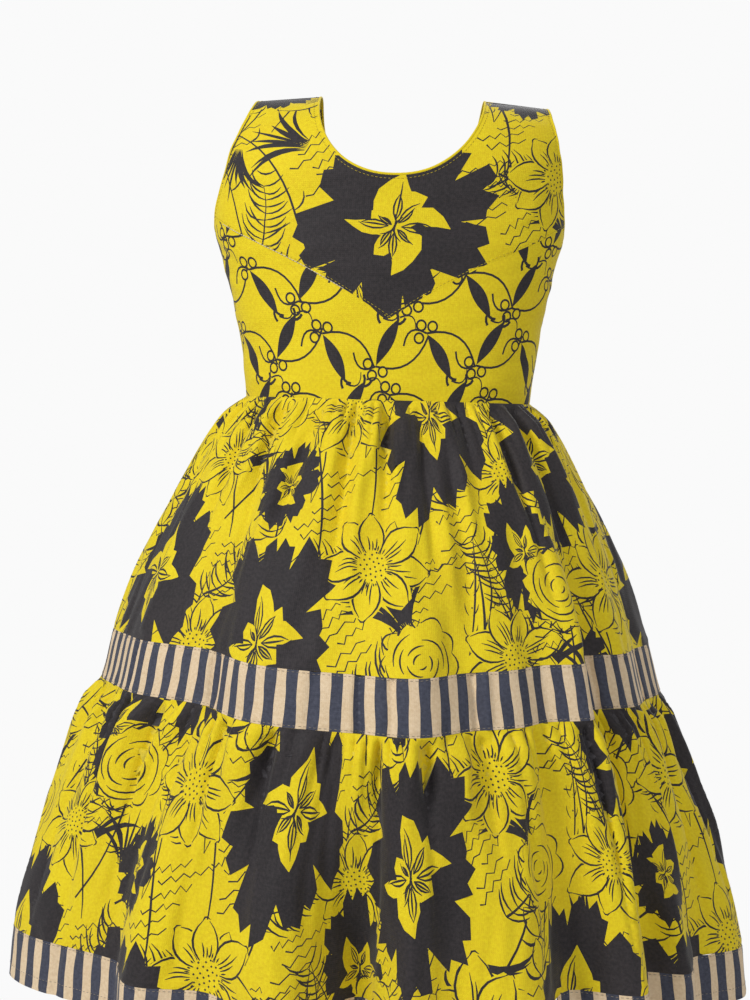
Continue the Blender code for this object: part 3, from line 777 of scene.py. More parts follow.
def blade(length=120, width=15, bend=0.1):
    """A long spear-shaped blade in outline on its stem, with a few veins."""
    top = (0, -length)
    shapes = [(leaf((0, -length * 0.25), top, width, bend, 10), GROUND)]
    shapes.append(brush(bow((0, 26), (0, -length * 0.9), bend * 0.8, 12), 2.0))
    for side in (-1, 1):
        shapes.append(brush(bow((0, -length * 0.25), top, bend + side * width / length * 0.55, 12), 1.5))
        for i in range(4):
            at = -length * (0.36 + 0.13 * i)
            shapes.append(brush(bow((side * 1.5, at), (side * width * 0.36, at - 9), side * 0.1, 4), 1.0))
    return shapes


def plume(seed, length=62, hairs=13):
    """A feathery spray: a bowed stem with fine hairs on both sides."""
    draw = np.random.default_rng(seed)
    stem = bow((0, 0), (0, -length), 0.14, 2 * hairs)
    shapes = [(stroke(stem[::2], 1.8, (1, 0.3)), INK)]
    for i in range(hairs):
        for side in (-1, 1):
            at = stem[2 * i]
            reach = (10 + 9 * math.sin(math.pi * (i + 2) / (hairs + 3))) * draw.uniform(0.75, 1.15)
            tip = at + (side * reach, -reach * draw.uniform(0.5, 0.9))
            shapes.append(brush(bow(at, tip, side * draw.uniform(0.05, 0.22), 5), 1.5))
    return shapes


def sedge(seed, blades=9, length=50):
    """A tuft of bowed dark blades."""
    draw = np.random.default_rng(seed)
    shapes = []
    for i in range(blades):
        lean = -1 + 2 * i / (blades - 1)
        tip = (length * lean * 0.75, -length * draw.uniform(0.7, 1.0) * (1 - 0.3 * abs(lean)))
        shapes.append((leaf((lean * 4, 0), tip, draw.uniform(2.2, 4.6), -0.16 * lean, 7), INK))
    return shapes


def scribble(seed, rows=6, width=46, slope=0.45):
    """Rows of quick zigzag pen strokes, one above another."""
    draw = np.random.default_rng(seed)
    shapes = []
    for row in range(rows):
        count = int(draw.integers(6, 11))
        x = np.linspace(0, width * draw.uniform(0.45, 0.9), count) + draw.uniform(-0.8, 0.8, count)
        x += draw.uniform(-8, 14)
        zig = np.where(np.arange(count) % 2, 1, -1) * draw.uniform(0.6, 3.0, count)
        line = np.stack([x - width / 2, row * 8.5 - slope * x + zig], -1)
        shapes.append((stroke(line, 1.5, (0.8, 0.55)), INK))
    return shapes


def curled_rose(seed, radius=30):
    """A rose of loose curls, one inside another, in a scalloped outline."""
    draw = np.random.default_rng(seed)
    edge = [polar(2 * math.pi * i / 36, radius * (1 + 0.09 * math.sin(i * 2.1))) for i in range(36)]
    shapes = [(np.array(edge), GROUND)]
    for i in range(9):
        way, next_way = 2 * math.pi * i / 9, 2 * math.pi * (i + 1) / 9
        outer = radius * draw.uniform(0.92, 1.04)
        shapes.append(brush(bow(polar(way, outer), polar(next_way, outer), -0.32, 7), 1.6))
    for i in range(12):
        out = radius * (0.14 + 0.065 * i)
        way = 2.4 * i + draw.uniform(-0.3, 0.3)
        span = draw.uniform(1.2, 2.0)
        arc = [polar(way + span * part, out * (1 + 0.12 * part)) for part in np.linspace(0, 1, 8)]
        shapes.append(brush(arc, 1.5))
    return shapes


def long_stem(length=150, bend=0.16):
    """A long bowed stem with a bud in outline at its end and a few thorns."""
    stem = bow((0, 0), (0, -length), bend, 14)
    shapes = [(stroke(stem, 1.9, (1, 0.6)), INK)]
    tip = stem[-1]
    shapes.append((leaf(tip, tip + (2, -26), 12, 0.05, 8), GROUND))
    for side in (-1, 1):
        shapes.append(brush(bow(tip, tip + (2, -26), side * 0.26, 8), 1.5))
        shapes.append(brush(bow(tip, tip + (side * 14, -12), side * 0.25, 6), 2.4))
    for at, side in ((stem[4], 1), (stem[7], -1), (stem[10], 1)):
        shapes.append(brush(bow(at, at + (side * 13, -9), side * 0.2, 5), 1.6))
    return shapes


# One repeat of the first print in millimetres, and how far its dark blooms are drawn in across and out down
REPEAT = (292.0, 304.0)
BLOOM_STRETCH = (0.95, 1.22)

# Where the motifs lie in it, from the back to the front. Each row is a seed, a spot, a turn and a size
LAID_OUT = (
    (
        scribble,
        (1, 40, 140, 0, 1),
        (2, 196, 20, 8, 1),
        (3, 262, 146, -12, 1),
        (4, 112, 256, 5, 1.1),
        (5, 282, 256, 0, 1),
        (6, 130, 50, -20, 1),
        (7, 20, 14, 10, 1),
        (8, 190, 124, 14, 1),
        (9, 66, 150, -8, 1),
        (10, 230, 284, 0, 1),
        (11, 150, 186, 20, 0.9),
        (12, 250, 20, -6, 1),
        (13, 90, 20, 6, 1),
        (14, 170, 226, -10, 1),
        (15, 10, 206, 12, 1),
        (16, 282, 70, 10, 0.9),
    ),
    (
        long_stem,
        (0, 128, 150, 12, 1),
        (0, 252, 250, -34, 1),
        (0, 30, 290, 28, 1),
        (0, 186, 300, -8, 1),
        (0, 284, 140, 6, 0.9),
    ),
    (
        blade,
        (0, 160, 176, 22, 1),
        (0, 284, 130, -20, 1),
        (0, 96, 300, -14, 1),
        (0, 18, 190, 40, 0.9),
        (0, 222, 110, 8, 1),
        (0, 250, 300, 16, 1),
        (0, 140, 262, -8, 1),
    ),
    (
        plume,
        (1, 140, 108, 40, 1.1),
        (2, 262, 56, -24, 1.1),
        (3, 22, 120, 14, 1),
        (4, 120, 220, -60, 1),
        (5, 282, 204, 36, 1.1),
        (6, 60, 300, -30, 1),
        (7, 176, 262, 70, 1),
        (8, 96, 16, 84, 0.9),
        (9, 206, 240, 10, 1),
        (10, 150, 40, -70, 1),
    ),
    (
        sedge,
        (1, 176, 60, -30, 1.1),
        (2, 284, 100, 20, 1.1),
        (3, 30, 262, 10, 1),
        (4, 140, 292, 160, 0.9),
        (5, 112, 140, 130, 1),
        (6, 248, 150, -70, 1.1),
        (7, 190, 150, 190, 0.9),
        (8, 60, 10, -150, 0.9),
    ),
    (
        brush_daisy,
        (21, 148, 14, 0, 1),
        (22, 262, 84, 20, 0.9),
        (23, 112, 186, 40, 1.05),
        (24, 284, 244, 10, 0.95),
    ),
    (
        curled_rose,
        (31, 20, 186, 0, 1),
        (32, 186, 82, 30, 0.9),
    ),
    (
        torn_bloom,
        (3, 66, 78, 0, 1),
        (7, 214, 190, 25, 1.05),
        (11, 60, 256, 50, 0.5),
        (14, 288, 6, 0, 0.66),
    ),
)


def flower_repeat(blooms):
    """The repeat's shapes: pen strokes, leaves, pale flowers and, if it has them, dark blooms."""
    shapes = []
    for motif, *places in LAID_OUT:
        if motif is torn_bloom and not blooms:
            continue
        for seed, x, y, turn, size in places:
            made = placed(motif(seed) if seed else motif(), 0, 0, turn, size)
            if motif is torn_bloom:
                made = [(corners * BLOOM_STRETCH, ink) for corners, ink in made]
            shapes += placed(made, x, y)
    return shapes


def flower_print(low, high, shift, blooms=True):
    """The first print over a flat region. Every other column of repeats drops by half a repeat."""
    shapes = []
    repeat = flower_repeat(blooms)
    columns = range(int((low[0] - shift[0]) // REPEAT[0]) - 1, int((high[0] - shift[0]) // REPEAT[0]) + 2)
    for column in columns:
        fall = shift[1] + (column % 2) * REPEAT[1] / 2
        for row in range(int((low[1] - fall) // REPEAT[1]) - 1, int((high[1] - fall) // REPEAT[1]) + 2):
            shapes += placed(repeat, shift[0] + column * REPEAT[0], fall + row * REPEAT[1])
    return shapes


def berries():
    """Three ring berries in a close cluster round the head of a pod."""
    shapes = []
    for x, y in ((-7.4, -3.5), (6.8, -4.6), (-0.6, -10.4)):
        shapes += [(disc(x, y, 4.6, 14), INK), (disc(x, y, 3.0, 12), GROUND)]
    return shapes


def pod():
    """A stout dark seed pod with a forked tip and berries at its head."""
    shapes = [(leaf((0, 20), (0, -20), 10.5, 0.02, 12), INK)]
    for lean in (-4.2, 4.0):
        shapes.append((stroke(bow((0, 15), (lean, 23), 0.15, 4), 2.2), INK))
    return shapes + placed(berries(), 0, -18)


def trellis_print(low, high):
    """The second print: dark seed pods that lean down and up by turns, linked by bowed stems."""
    draw = np.random.default_rng(5)
    pitch = 44.0
    row_pitch = 47.0
    shapes = []
    for row in range(int(low[1] // row_pitch) - 1, int(high[1] // row_pitch) + 2):
        for column in range(int(low[0] // pitch) - 1, int(high[0] // pitch) + 2):
            down = (column + row) % 2 == 0
            lean = (-33 if down else -149) + draw.uniform(-5, 5)
            head = np.array([column * pitch + row * 15, row * row_pitch + (0 if down else 22)])
            head = head + draw.uniform(-2, 2, 2)
            middle = head - turned([(0, -21)], lean)[0]
            rise = 1 if down else -1
            shapes.append((stroke(bow(head, head + (pitch, 24 * rise), -0.22 * rise, 9), 1.7), INK))
            shapes.append((stroke(bow(head, head + (-19, 10 * rise), 0.34 * rise, 7), 1.6), INK))
            foot = middle * 2 - head
            shapes.append((stroke(bow(foot, foot + (13, -9 * rise), 0.4 * rise, 7), 1.5, (1, 0.5)), INK))
            shapes += placed(pod(), *middle, lean)
    return shapes


def stripes(width, length, pitch, share):
    """Dark stripes across a band. Their edges waver a little, as printed ones do."""
    draw = np.random.default_rng(int(width))
    shapes = []
    for number in range(-1, int(width / pitch) + 2):
        x = number * pitch + draw.uniform(-0.3, 0.3)
        down = np.linspace(-2, length + 2, 9)
        left = x + 0.35 * np.sin(down / 6 + number) + draw.uniform(-0.12, 0.12, 9)
        right = x + pitch * share + 0.35 * np.sin(down / 7 + 2 * number) + draw.uniform(-0.12, 0.12, 9)
        shapes.append((np.concatenate([np.stack([left, down], -1), np.stack([right, down], -1)[::-1]]), INK))
    return shapes


# The cloth meshes


def even_points(corners, spacing, closed=True):
    """Points along a line, no more than the spacing apart, its corners among them."""
    corners = np.array(corners, float)
    ends = np.roll(corners, -1, axis=0) if closed else corners[1:]
    points = []
    for start, end in zip(corners, ends):
        count = max(1, math.ceil(np.linalg.norm(end - start) / spacing))
        points += [start + (end - start) * i / count for i in range(count)]
    return np.array(points if closed else [*points, corners[-1]])


def signed_area(shape):
    """A flat shape's area, negative where its corners run clockwise."""
    x, y = shape[:, 0], shape[:, 1]
    return (x * np.roll(y, -1) - y * np.roll(x, -1)).sum() / 2


def anticlockwise(shape):
    """A flat shape with its corners in anticlockwise order."""
    return shape if signed_area(shape) > 0 else shape[::-1]


def cut_and_print(edge, shapes, spacing, gathered=0):
    """Triangles of a flat cut, split along the edges of its print, and the ink of each. The mesh is closer
    across where the cloth is gathered, which is within a distance of its upper edge."""
    edge = anticlockwise(edge)
    low, high = edge.min(0), edge.max(0)
    grid = []
    for i, y in enumerate(np.arange(low[1] + spacing / 2, high[1] - spacing / 4, spacing * 0.87)):
        is_gathered = y - low[1] < gathered
        step = spacing * (0.6 if is_gathered else 1)
        first = low[0] + step / 2 * (1 if is_gathered else 1 + i % 2)
        grid += [(x, y) for x in np.arange(first, high[0] - step / 4, step)]
    drawn = [edge]
    inks = [GROUND]
    for shape, ink in shapes:
        if (shape.max(0) > low).all() and (shape.min(0) < high).all():
            drawn.append(anticlockwise(shape))
            inks.append(ink)
    starts = np.cumsum([0] + [len(shape) for shape in drawn])
    faces = [list(range(start, start + len(shape))) for start, shape in zip(starts, drawn)]
    spots = np.concatenate([*drawn, np.array(grid)])
    found, _, triangles, _, _, owners = delaunay_2d_cdt([Vector(p) for p in spots], [], faces, 1, 1e-3)
    flat = np.array([p[:] for p in found])
    triangles = np.array(triangles)
    middles = flat[triangles].mean(1)
    # A shape that crosses itself would spill past its own corners, so it is left out
    owner = np.array([i for o in owners for i in o])
    middle = np.repeat(middles, [len(o) for o in owners], axis=0)
    lows = np.array([shape.min(0) for shape in drawn])
    highs = np.array([shape.max(0) for shape in drawn])
    past = ((middle < lows[owner]) | (middle > highs[owner])).any(1)
    spilt = set(owner[past].tolist())
    kept = [i for i, o in enumerate(owners) if 0 in o]
    ink = np.array([inks[max(j for j in owners[i] if j not in spilt)] for i in kept])
    used, corners = np.unique(triangles[kept][:, ::-1], return_inverse=True)
    return flat[used], corners.reshape(-1, 3), ink


def out_of(lay, spots):
    """The way out of the laid cloth at flat spots."""
    along = lay(spots + (0.3, 0)) - lay(spots - (0.3, 0))
    down = lay(spots + (0, 0.3)) - lay(spots - (0, 0.3))
    return unit(np.cross(down, along))


def rim_of(triangles):
    """The edges of a mesh's open rim, each with the triangle it belongs to."""
    ends = np.concatenate([triangles[:, [0, 1]], triangles[:, [1, 2]], triangles[:, [2, 0]]])
    owner = np.tile(np.arange(len(triangles)), 3)
    count = triangles.max() + 1
    rim = ~np.isin(ends[:, 0] * count + ends[:, 1], ends[:, 1] * count + ends[:, 0])
    return ends[rim], owner[rim]


def cloth(name, outline, shapes, lay, finishes, spacing=PRINT_MESH, gathered=0):
    """A piece of cloth as a closed thin shell, with its flat cut's size and area in metres. Its wrong side
    shows the print's broad shapes alone."""
    edge = even_points(outline, spacing * RIM_MESH_SHARE)
    flat, triangles, inks = cut_and_print(edge, shapes, spacing, gathered)
    rim, owner = rim_of(triangles)
    a, b = rim.T
    follow = dict(zip(a.tolist(), b.tolist()))
    loop = [int(a[0])]
    while follow[loop[-1]] != loop[0]:
        loop.append(follow[loop[-1]])
    broad = [(shape, ink) for shape, ink in shapes if abs(signed_area(shape)) > BROAD]
    inner, inner_triangles, inner_inks = cut_and_print(flat[loop], broad, spacing * WRONG_SIDE_MESH_SHARE)
    tree = KDTree(len(inner))
    for i, spot in enumerate(inner):
        tree.insert((*spot, 0), i)
    tree.balance()
    count = len(flat)
    opposite = {i: count + tree.find((*flat[i], 0))[1] for i in loop}
    out, inner_out = out_of(lay, flat), out_of(lay, inner)
    walls = np.concatenate([lay(flat) + out * CLOTH / 2, lay(inner) - inner_out * CLOTH / 2]) * MM
    sides = [(q, p, opposite[p], opposite[q]) for p, q in zip(a.tolist(), b.tolist())]
    faces = triangles.tolist() + (inner_triangles[:, ::-1] + count).tolist() + sides
    mesh = bpy.data.meshes.new(name)
    mesh.from_pydata(walls.tolist(), [], faces)
    for finish in finishes:
        mesh.materials.append(finish)
    wrong_side = len(finishes) // 2
    inked = np.concatenate([inks, inner_inks + wrong_side, inks[owner]])
    mesh.polygons.foreach_set("material_index", inked.astype(np.int32))
    size = np.maximum(flat.max(0) - flat.min(0), 1)
    corners = (
        flat[triangles.ravel()],
        inner[inner_triangles[:, ::-1].ravel()],
        flat[np.stack([b, a, a, b], 1).ravel()],
    )
    inside = np.repeat([0, 1, 0], [len(part) for part in corners])
    spots = np.concatenate(corners)
    # The baking map has the right side in its lower half and the wrong side in its upper half
    bake = (spots - flat.min(0)) / size * (0.98, 0.485) + 0.01
    bake[:, 1] += inside * 0.495
    for map_name, values in (("flat", spots * UV_PER_MM), ("OFBake", bake)):
        mesh.uv_layers.new(name=map_name).data.foreach_set("uv", values.astype(np.float32).ravel())
    mesh.shade_smooth()
    mesh.normals_split_custom_set_from_vertices(np.concatenate([out, -inner_out]).tolist())
    made = bpy.data.objects.new(name, mesh)
    bpy.context.scene.collection.objects.link(made)
    area = abs(signed_area(flat[loop]))
    return made, size * MM, float(area) * MM * MM


# The trims


def set_in(line, distance):
    """A flat line moved aside by a distance."""
    line = np.array(line, float)
    along = unit(np.gradient(line, axis=0))
    return line + np.stack([-along[:, 1], along[:, 0]], -1) * distance


def turned_edge(name, lay, lines, finish):
    """The cloth's edge turned under: a narrow roll along each line, a little past the cut edge."""
    shape = bmesh.new()
    flat = shape.loops.layers.uv.new("flat")
    for line in lines:
        spots = even_points(line, 3.0, closed=False)
        points, out = lay(spots), out_of(lay, spots)
        aside = np.cross(out, unit(np.gradient(points, axis=0)))
        run = run_along(points)
        rings = []
        for turn in np.linspace(0, 2 * math.pi, ROLL_SIDES, endpoint=False):
            way = out * math.cos(turn) * ROLL_HIGH + aside * math.sin(turn) * ROLL_WIDE
            rings.append([shape.verts.new(spot * MM) for spot in points + way])
        for side in range(ROLL_SIDES):
            here, there = rings[side], rings[(side + 1) % ROLL_SIDES]
            for i in range(len(spots) - 1):
                face = shape.faces.new((here[i], here[i + 1], there[i + 1], there[i]))
                corners = ((i, side), (i + 1, side), (i + 1, side + 1), (i, side + 1))
                for loop, (j, level) in zip(face.loops, corners):
                    loop[flat].uv = (run[j] * UV_PER_MM, level * UV_PER_MM)
        for i in (0, -1):
            shape.faces.new([ring[i] for ring in rings])
    bmesh.ops.recalc_face_normals(shape, faces=shape.faces)
    mesh = bpy.data.meshes.new(name)
    shape.to_mesh(mesh)
    shape.free()
    mesh.materials.append(finish)
    mesh.shade_smooth()
    made = bpy.data.objects.new(name, mesh)
    bpy.context.scene.collection.objects.link(made)
    return made


def repeat_tree():
    """Small beads at an even pitch along a path, turned along it. It makes stitches and the zip's coil."""
    tree = bpy.data.node_groups.new("beads_along_path", "GeometryNodeTree")
    for name, kind in (
        ("Path", "NodeSocketGeometry"),
        ("Pitch", "NodeSocketFloat"),
        ("Size", "NodeSocketVector"),
        ("Finish", "NodeSocketMaterial"),
    ):
        tree.interface.new_socket(name, in_out="INPUT", socket_type=kind)
    tree.interface.new_socket("Geometry", in_out="OUTPUT", socket_type="NodeSocketGeometry")
    given = add_node(tree, "NodeGroupInput").outputs
    path = add_node(tree, "GeometryNodeMeshToCurve", None, {"Mesh": given["Path"]})
    evenly = {"Curve": path.outputs[0], "Length": given["Pitch"]}
    spots = add_node(tree, "GeometryNodeCurveToPoints", None, evenly, mode="LENGTH")
    bead = add_node(tree, "GeometryNodeMeshIcoSphere", {"Radius": 0.5, "Subdivisions": 1})
    laid = add_node(
        tree,
        "GeometryNodeInstanceOnPoints",
        None,
        {
            "Points": spots.outputs["Points"],
            "Instance": bead.outputs["Mesh"],
            "Rotation": spots.outputs["Rotation"],
            "Scale": given["Size"],
        },
    )
    real = add_node(tree, "GeometryNodeRealizeInstances", None, {"Geometry": laid.outputs[0]})
    smooth = add_node(tree, "GeometryNodeSetShadeSmooth", None, {"Geometry": real.outputs[0]})
    finished = add_node(
        tree, "GeometryNodeSetMaterial", None, {"Geometry": smooth.outputs[0], "Material": given["Finish"]}
    )
    add_node(tree, "NodeGroupOutput", None, {"Geometry": finished.outputs[0]})
    return tree


def beads(name, lines, pitch, size, finish):
    """Beads of a size (across, across, along) at a pitch along lines of points, all in millimetres."""
    mesh = bpy.data.meshes.new(name + "_path")
    points, edges = [], []
    for line in lines:
        edges += [(len(points) + i, len(points) + i + 1) for i in range(len(line) - 1)]
        points += (np.array(line) * MM).tolist()
    mesh.from_pydata(points, edges, [])
    path = bpy.data.objects.new(name + "_path", mesh)
    bpy.context.scene.collection.objects.link(path)
    modifier = path.modifiers.new("beads", "NODES")
    modifier.node_group = BEADS
    values = {"Pitch": pitch * MM, "Size": [part * MM for part in size], "Finish": finish}
    for item in BEADS.interface.items_tree:
        if item.name in values and item.in_out == "INPUT":
            modifier[item.identifier] = values[item.name]
    evaluated = path.evaluated_get(bpy.context.evaluated_depsgraph_get())
    made = bpy.data.objects.new(name, bpy.data.meshes.new_from_object(evaluated))
    bpy.data.objects.remove(path)
    bpy.context.scene.collection.objects.link(made)
    return made


# Materials


def linear(colour):
    """An sRGB hex colour as linear light."""
    parts = [int(colour[i : i + 2], 16) / 255 for i in (1, 3, 5)]
    return (*(c / 12.92 if c <= 0.04045 else ((c + 0.055) / 1.055) ** 2.4 for c in parts), 1)


def add_node(tree, kind, values=None, links=None, **settings):
    """Adds a node with its settings, the values of its inputs and what they are linked to."""
    node = tree.nodes.new(kind)
    for name, value in settings.items():
        setattr(node, name, value)
    for name, value in (values or {}).items():
        node.inputs[name].default_value = value
    for name, source in (links or {}).items():
        tree.links.new(source, node.inputs[name])
    return node


def wave_scale(period):
    """The scale at which a wave texture repeats after a length of its own coordinates."""
    return 2 * math.pi / (20 * period)


def new_finish(name):
    """A material, its tree and its shader."""
    material = bpy.data.materials.new(name)
    material.use_nodes = True
    return material, material.node_tree, material.node_tree.nodes["Principled BSDF"]


def printed_cotton(name, colour, mottle_and_painted_shade, roughness=0.78, sheen=0.12):
    """Plain-woven cotton, printed through and calendered: a close even cloth with a faint sheen, whose ink is
    a little uneven from thread to thread. A second colour mixed in over noise patches is partly that uneven
    ink and partly painted light and shade of soft wrinkles. The weave's threads are 0.3 mm apart, and are
    drawn 1.5 mm apart, which is as fine as shows."""
    material, tree, shader = new_finish(name)
    flat = add_node(tree, "ShaderNodeUVMap", uv_map="flat").outputs["UV"]
    thread = DRAWN_THREAD * UV_PER_MM
    threads = [
        add_node(
            tree,
            "ShaderNodeTexWave",
            {"Scale": wave_scale(thread), "Distortion": 1.2, "Detail": 1.0, "Detail Scale": 2.0},
            {"Vector": flat},
            bands_direction=way,
        ).outputs["Fac"]
        for way in ("X", "Y")
    ]
    weave = add_node(tree, "ShaderNodeMath", None, {0: threads[0], 1: threads[1]}, operation="MULTIPLY")
    # Noise patches of the second colour: partly uneven ink, partly painted light and shade of soft wrinkles
    broad = add_node(tree, "ShaderNodeTexNoise", {"Scale": 2.2, "Detail": 4.0}, {"Vector": flat})
    fine = add_node(tree, "ShaderNodeTexNoise", {"Scale": 40.0, "Detail": 2.0}, {"Vector": flat})
    blend = add_node(
        tree,
        "ShaderNodeMath",
        {1: 0.5},
        {0: broad.outputs["Fac"], 2: fine.outputs["Fac"]},
        operation="MULTIPLY_ADD",
    )
    share = add_node(
        tree,
        "ShaderNodeMapRange",
        {"From Min": 0.55, "From Max": 0.95, "To Min": 0.0, "To Max": 1.0},
        {"Value": blend.outputs[0]},
    )
    mix = add_node(tree, "ShaderNodeMix", None, {"Factor": share.outputs["Result"]}, data_type="RGBA")
    mix.inputs[6].default_value = linear(colour)
    mix.inputs[7].default_value = linear(mottle_and_painted_shade)
    tree.links.new(mix.outputs[2], shader.inputs["Base Color"])
    relief = {"Strength": 0.25, "Distance": 0.0004}
    bump = add_node(tree, "ShaderNodeBump", relief, {"Height": weave.outputs[0]})
    tree.links.new(bump.outputs["Normal"], shader.inputs["Normal"])
    shader.inputs["Roughness"].default_value = roughness
    shader.inputs["Sheen Weight"].default_value = sheen
    shader.inputs["Sheen Roughness"].default_value = 0.4
    shader.inputs["Specular IOR Level"].default_value = 0.3
    return material


def thread_finish(name, colour):
    """Spun polyester sewing thread: matt, its twist too fine to show."""
    material, tree, shader = new_finish(name)
    where = add_node(tree, "ShaderNodeTexCoord").outputs["Object"]
    noise = add_node(tree, "ShaderNodeTexNoise", {"Scale": 900.0}, {"Vector": where})
    mix = add_node(tree, "ShaderNodeMix", None, {"Factor": noise.outputs["Fac"]}, data_type="RGBA")
    mix.inputs[6].default_value = linear(colour)
    mix.inputs[7].default_value = tuple(0.8 * c for c in linear(colour)[:3]) + (1,)
    tree.links.new(mix.outputs[2], shader.inputs["Base Color"])
    shader.inputs["Roughness"].default_value = 0.6
    return material


def zip_brass(name):
    """Cast zinc plated with brass and tumbled: a satin metal with fine scuffs."""
    material, tree, shader = new_finish(name)
    where = add_node(tree, "ShaderNodeTexCoord").outputs["Object"]
    scuff = add_node(tree, "ShaderNodeTexNoise", {"Scale": 1500.0, "Detail": 3.0}, {"Vector": where})
    rough = add_node(
        tree, "ShaderNodeMapRange", {"To Min": 0.22, "To Max": 0.42}, {"Value": scuff.outputs["Fac"]}
    )
    tree.links.new(rough.outputs["Result"], shader.inputs["Roughness"])
    shader.inputs["Base Color"].default_value = linear("#D9B469")
    shader.inputs["Metallic"].default_value = 1.0
    return material


# Each cloth's second colour, mixed in by noise, is partly uneven ink and partly painted light and shade of
# soft wrinkles: darker than a pale cloth, lighter than a dark one
yellow = printed_cotton("wax_print_yellow", "#EBD51B", "#E0C418")
black = printed_cotton("wax_print_black", "#272426", "#363133", 0.7, 0.2)
yellow_inside = printed_cotton("wax_print_yellow_wrong_side", "#E3CF3C", "#D8BF35")
black_inside = printed_cotton("wax_print_black_wrong_side", "#3A373A", "#484548", 0.75, 0.2)
navy = printed_cotton("striped_cotton_navy", "#3A3D4B", "#4A4D5C", 0.75, 0.15)
cream = printed_cotton("striped_cotton_cream", "#E6CFAE", "#D8BE9A")
navy_inside = printed_cotton("striped_cotton_navy_wrong_side", "#4A4D5A", "#5A5C69", 0.75, 0.15)
cream_inside = printed_cotton("striped_cotton_cream_wrong_side", "#E0CBAD", "#D2BC9C")
PRINTED = (yellow, black, yellow_inside, black_inside)
STRIPED = (cream, navy, cream_inside, navy_inside)


# The pieces


def bodice_pieces():
    """The yoke, the lower front and the two backs, each with its flat cut's size and area."""
    made = {}
    region = (np.array([-260.0, -300.0]), np.array([260.0, 300.0]))
    yoke_print = flower_print(*region, (-20.0, 96.0), blooms=False)
    yoke_print += placed(torn_bloom(12, 72, 9), 4, 155, 20)
    back_print = flower_print(*region, (-120.0, 40.0))
    for side in (-1, 1):
        shoulder = placed(torn_bloom(17 + side, 40)[:1], side * 94, 6)
        yoke_print += shoulder
        back_print += shoulder
    for name, outline, shapes in (
        ("front_yoke", yoke_outline(), yoke_print),
        ("front_bodice", lower_front_outline(), trellis_print(*region)),
        ("back_bodice_left", back_outline(-1), back_print),
        ("back_bodice_right", back_outline(1), back_print),
    ):
        made[name] = cloth(name + "_cloth", outline, shapes, lay_bodice, PRINTED)
    return made


def straight_cut(name, cut, shapes, finishes, spacing, gathered=0):
    """A tier or band, which is cut as a rectangle."""
    width, length, lay = cut
    outline = [(0, 0), (width, 0), (width, length), (0, length)]
    return cloth(name + "_cloth", outline, shapes, lay, finishes, spacing, gathered)


def skirt_pieces():
    """The tiers and bands, each with its flat cut's size and area."""
    made = {}
    for name, start, end, first_gather, zip_side, shift in (
        ("upper_tier_front", -90, 90, 0, 0, (-122, -24)),
        ("upper_tier_back_right", 90, 180, 20, 1, (-90, -60)),
        ("upper_tier_back_left", -180, -90, 40, -1, (-160, 40)),
    ):
        gathers = UPPER_GATHERS * (end - start) / 180
        cut = skirt_cut(
            start, end, 0, MID_BAND_TOP, gathers, WAIST_GATHERS, first_gather, zip_side, UPPER_CREASES
        )
        SURFACES[name] = cut
        shapes = flower_print((0, 0), cut[:2], shift)
        made[name] = straight_cut(name, cut, shapes, PRINTED, PRINT_MESH, UPPER_CLOSE_MESH)
    for half, start, end, first_gather, shift in (
        ("front", -90, 90, 60, (-148, 18)),
        ("back", 90, 270, 80, (-10, -80)),
    ):
        name = f"lower_tier_{half}"
        cut = skirt_cut(
            start,
            end,
            MID_BAND_FOOT,
            HEM_BAND_TOP,
            LOWER_GATHERS,
            BAND_GATHERS,
            first_gather,
            creases=LOWER_CREASES,
        )
        shapes = flower_print((0, 0), cut[:2], shift)
        made[name] = straight_cut(name, cut, shapes, PRINTED, PRINT_MESH, LOWER_CLOSE_MESH)
        for band, top, foot, pitch, creases in (
            ("mid", MID_BAND_TOP, MID_BAND_FOOT, 16.0, MID_BAND_CREASES),
            ("hem", HEM_BAND_TOP, HEM, 18.0, HEM_BAND_CREASES),
        ):
            name = f"{band}_band_{half}"
            cut = skirt_cut(start, end, top, foot, creases=creases)
            SURFACES[name] = cut
            shapes = stripes(*cut[:2], pitch, STRIPE_SHARE)
            made[name] = straight_cut(name, cut, shapes, STRIPED, BAND_MESH)
    return made


def turned_edges():
    """The rolls at the neck and armholes, named for the cut that each is turned from."""
    lines = {
        "front_yoke": [front_neck(), front_armhole(-1), front_armhole(1)],
        "front_bodice": [low_armhole(-1), low_armhole(1)],
        "back_bodice_left": [back_neck(-1), back_armhole(-1)],
        "back_bodice_right": [back_neck(1), back_armhole(1)],
    }
    return {name: turned_edge(name + "_edge", lay_bodice, edges, yellow) for name, edges in lines.items()}


def thread_line(lay, line, high=0.15):
    """A line of thread on the laid cloth."""
    spots = even_points(line, 1.6, closed=False)
    return lay(spots) + out_of(lay, spots) * (CLOTH / 2 + high)


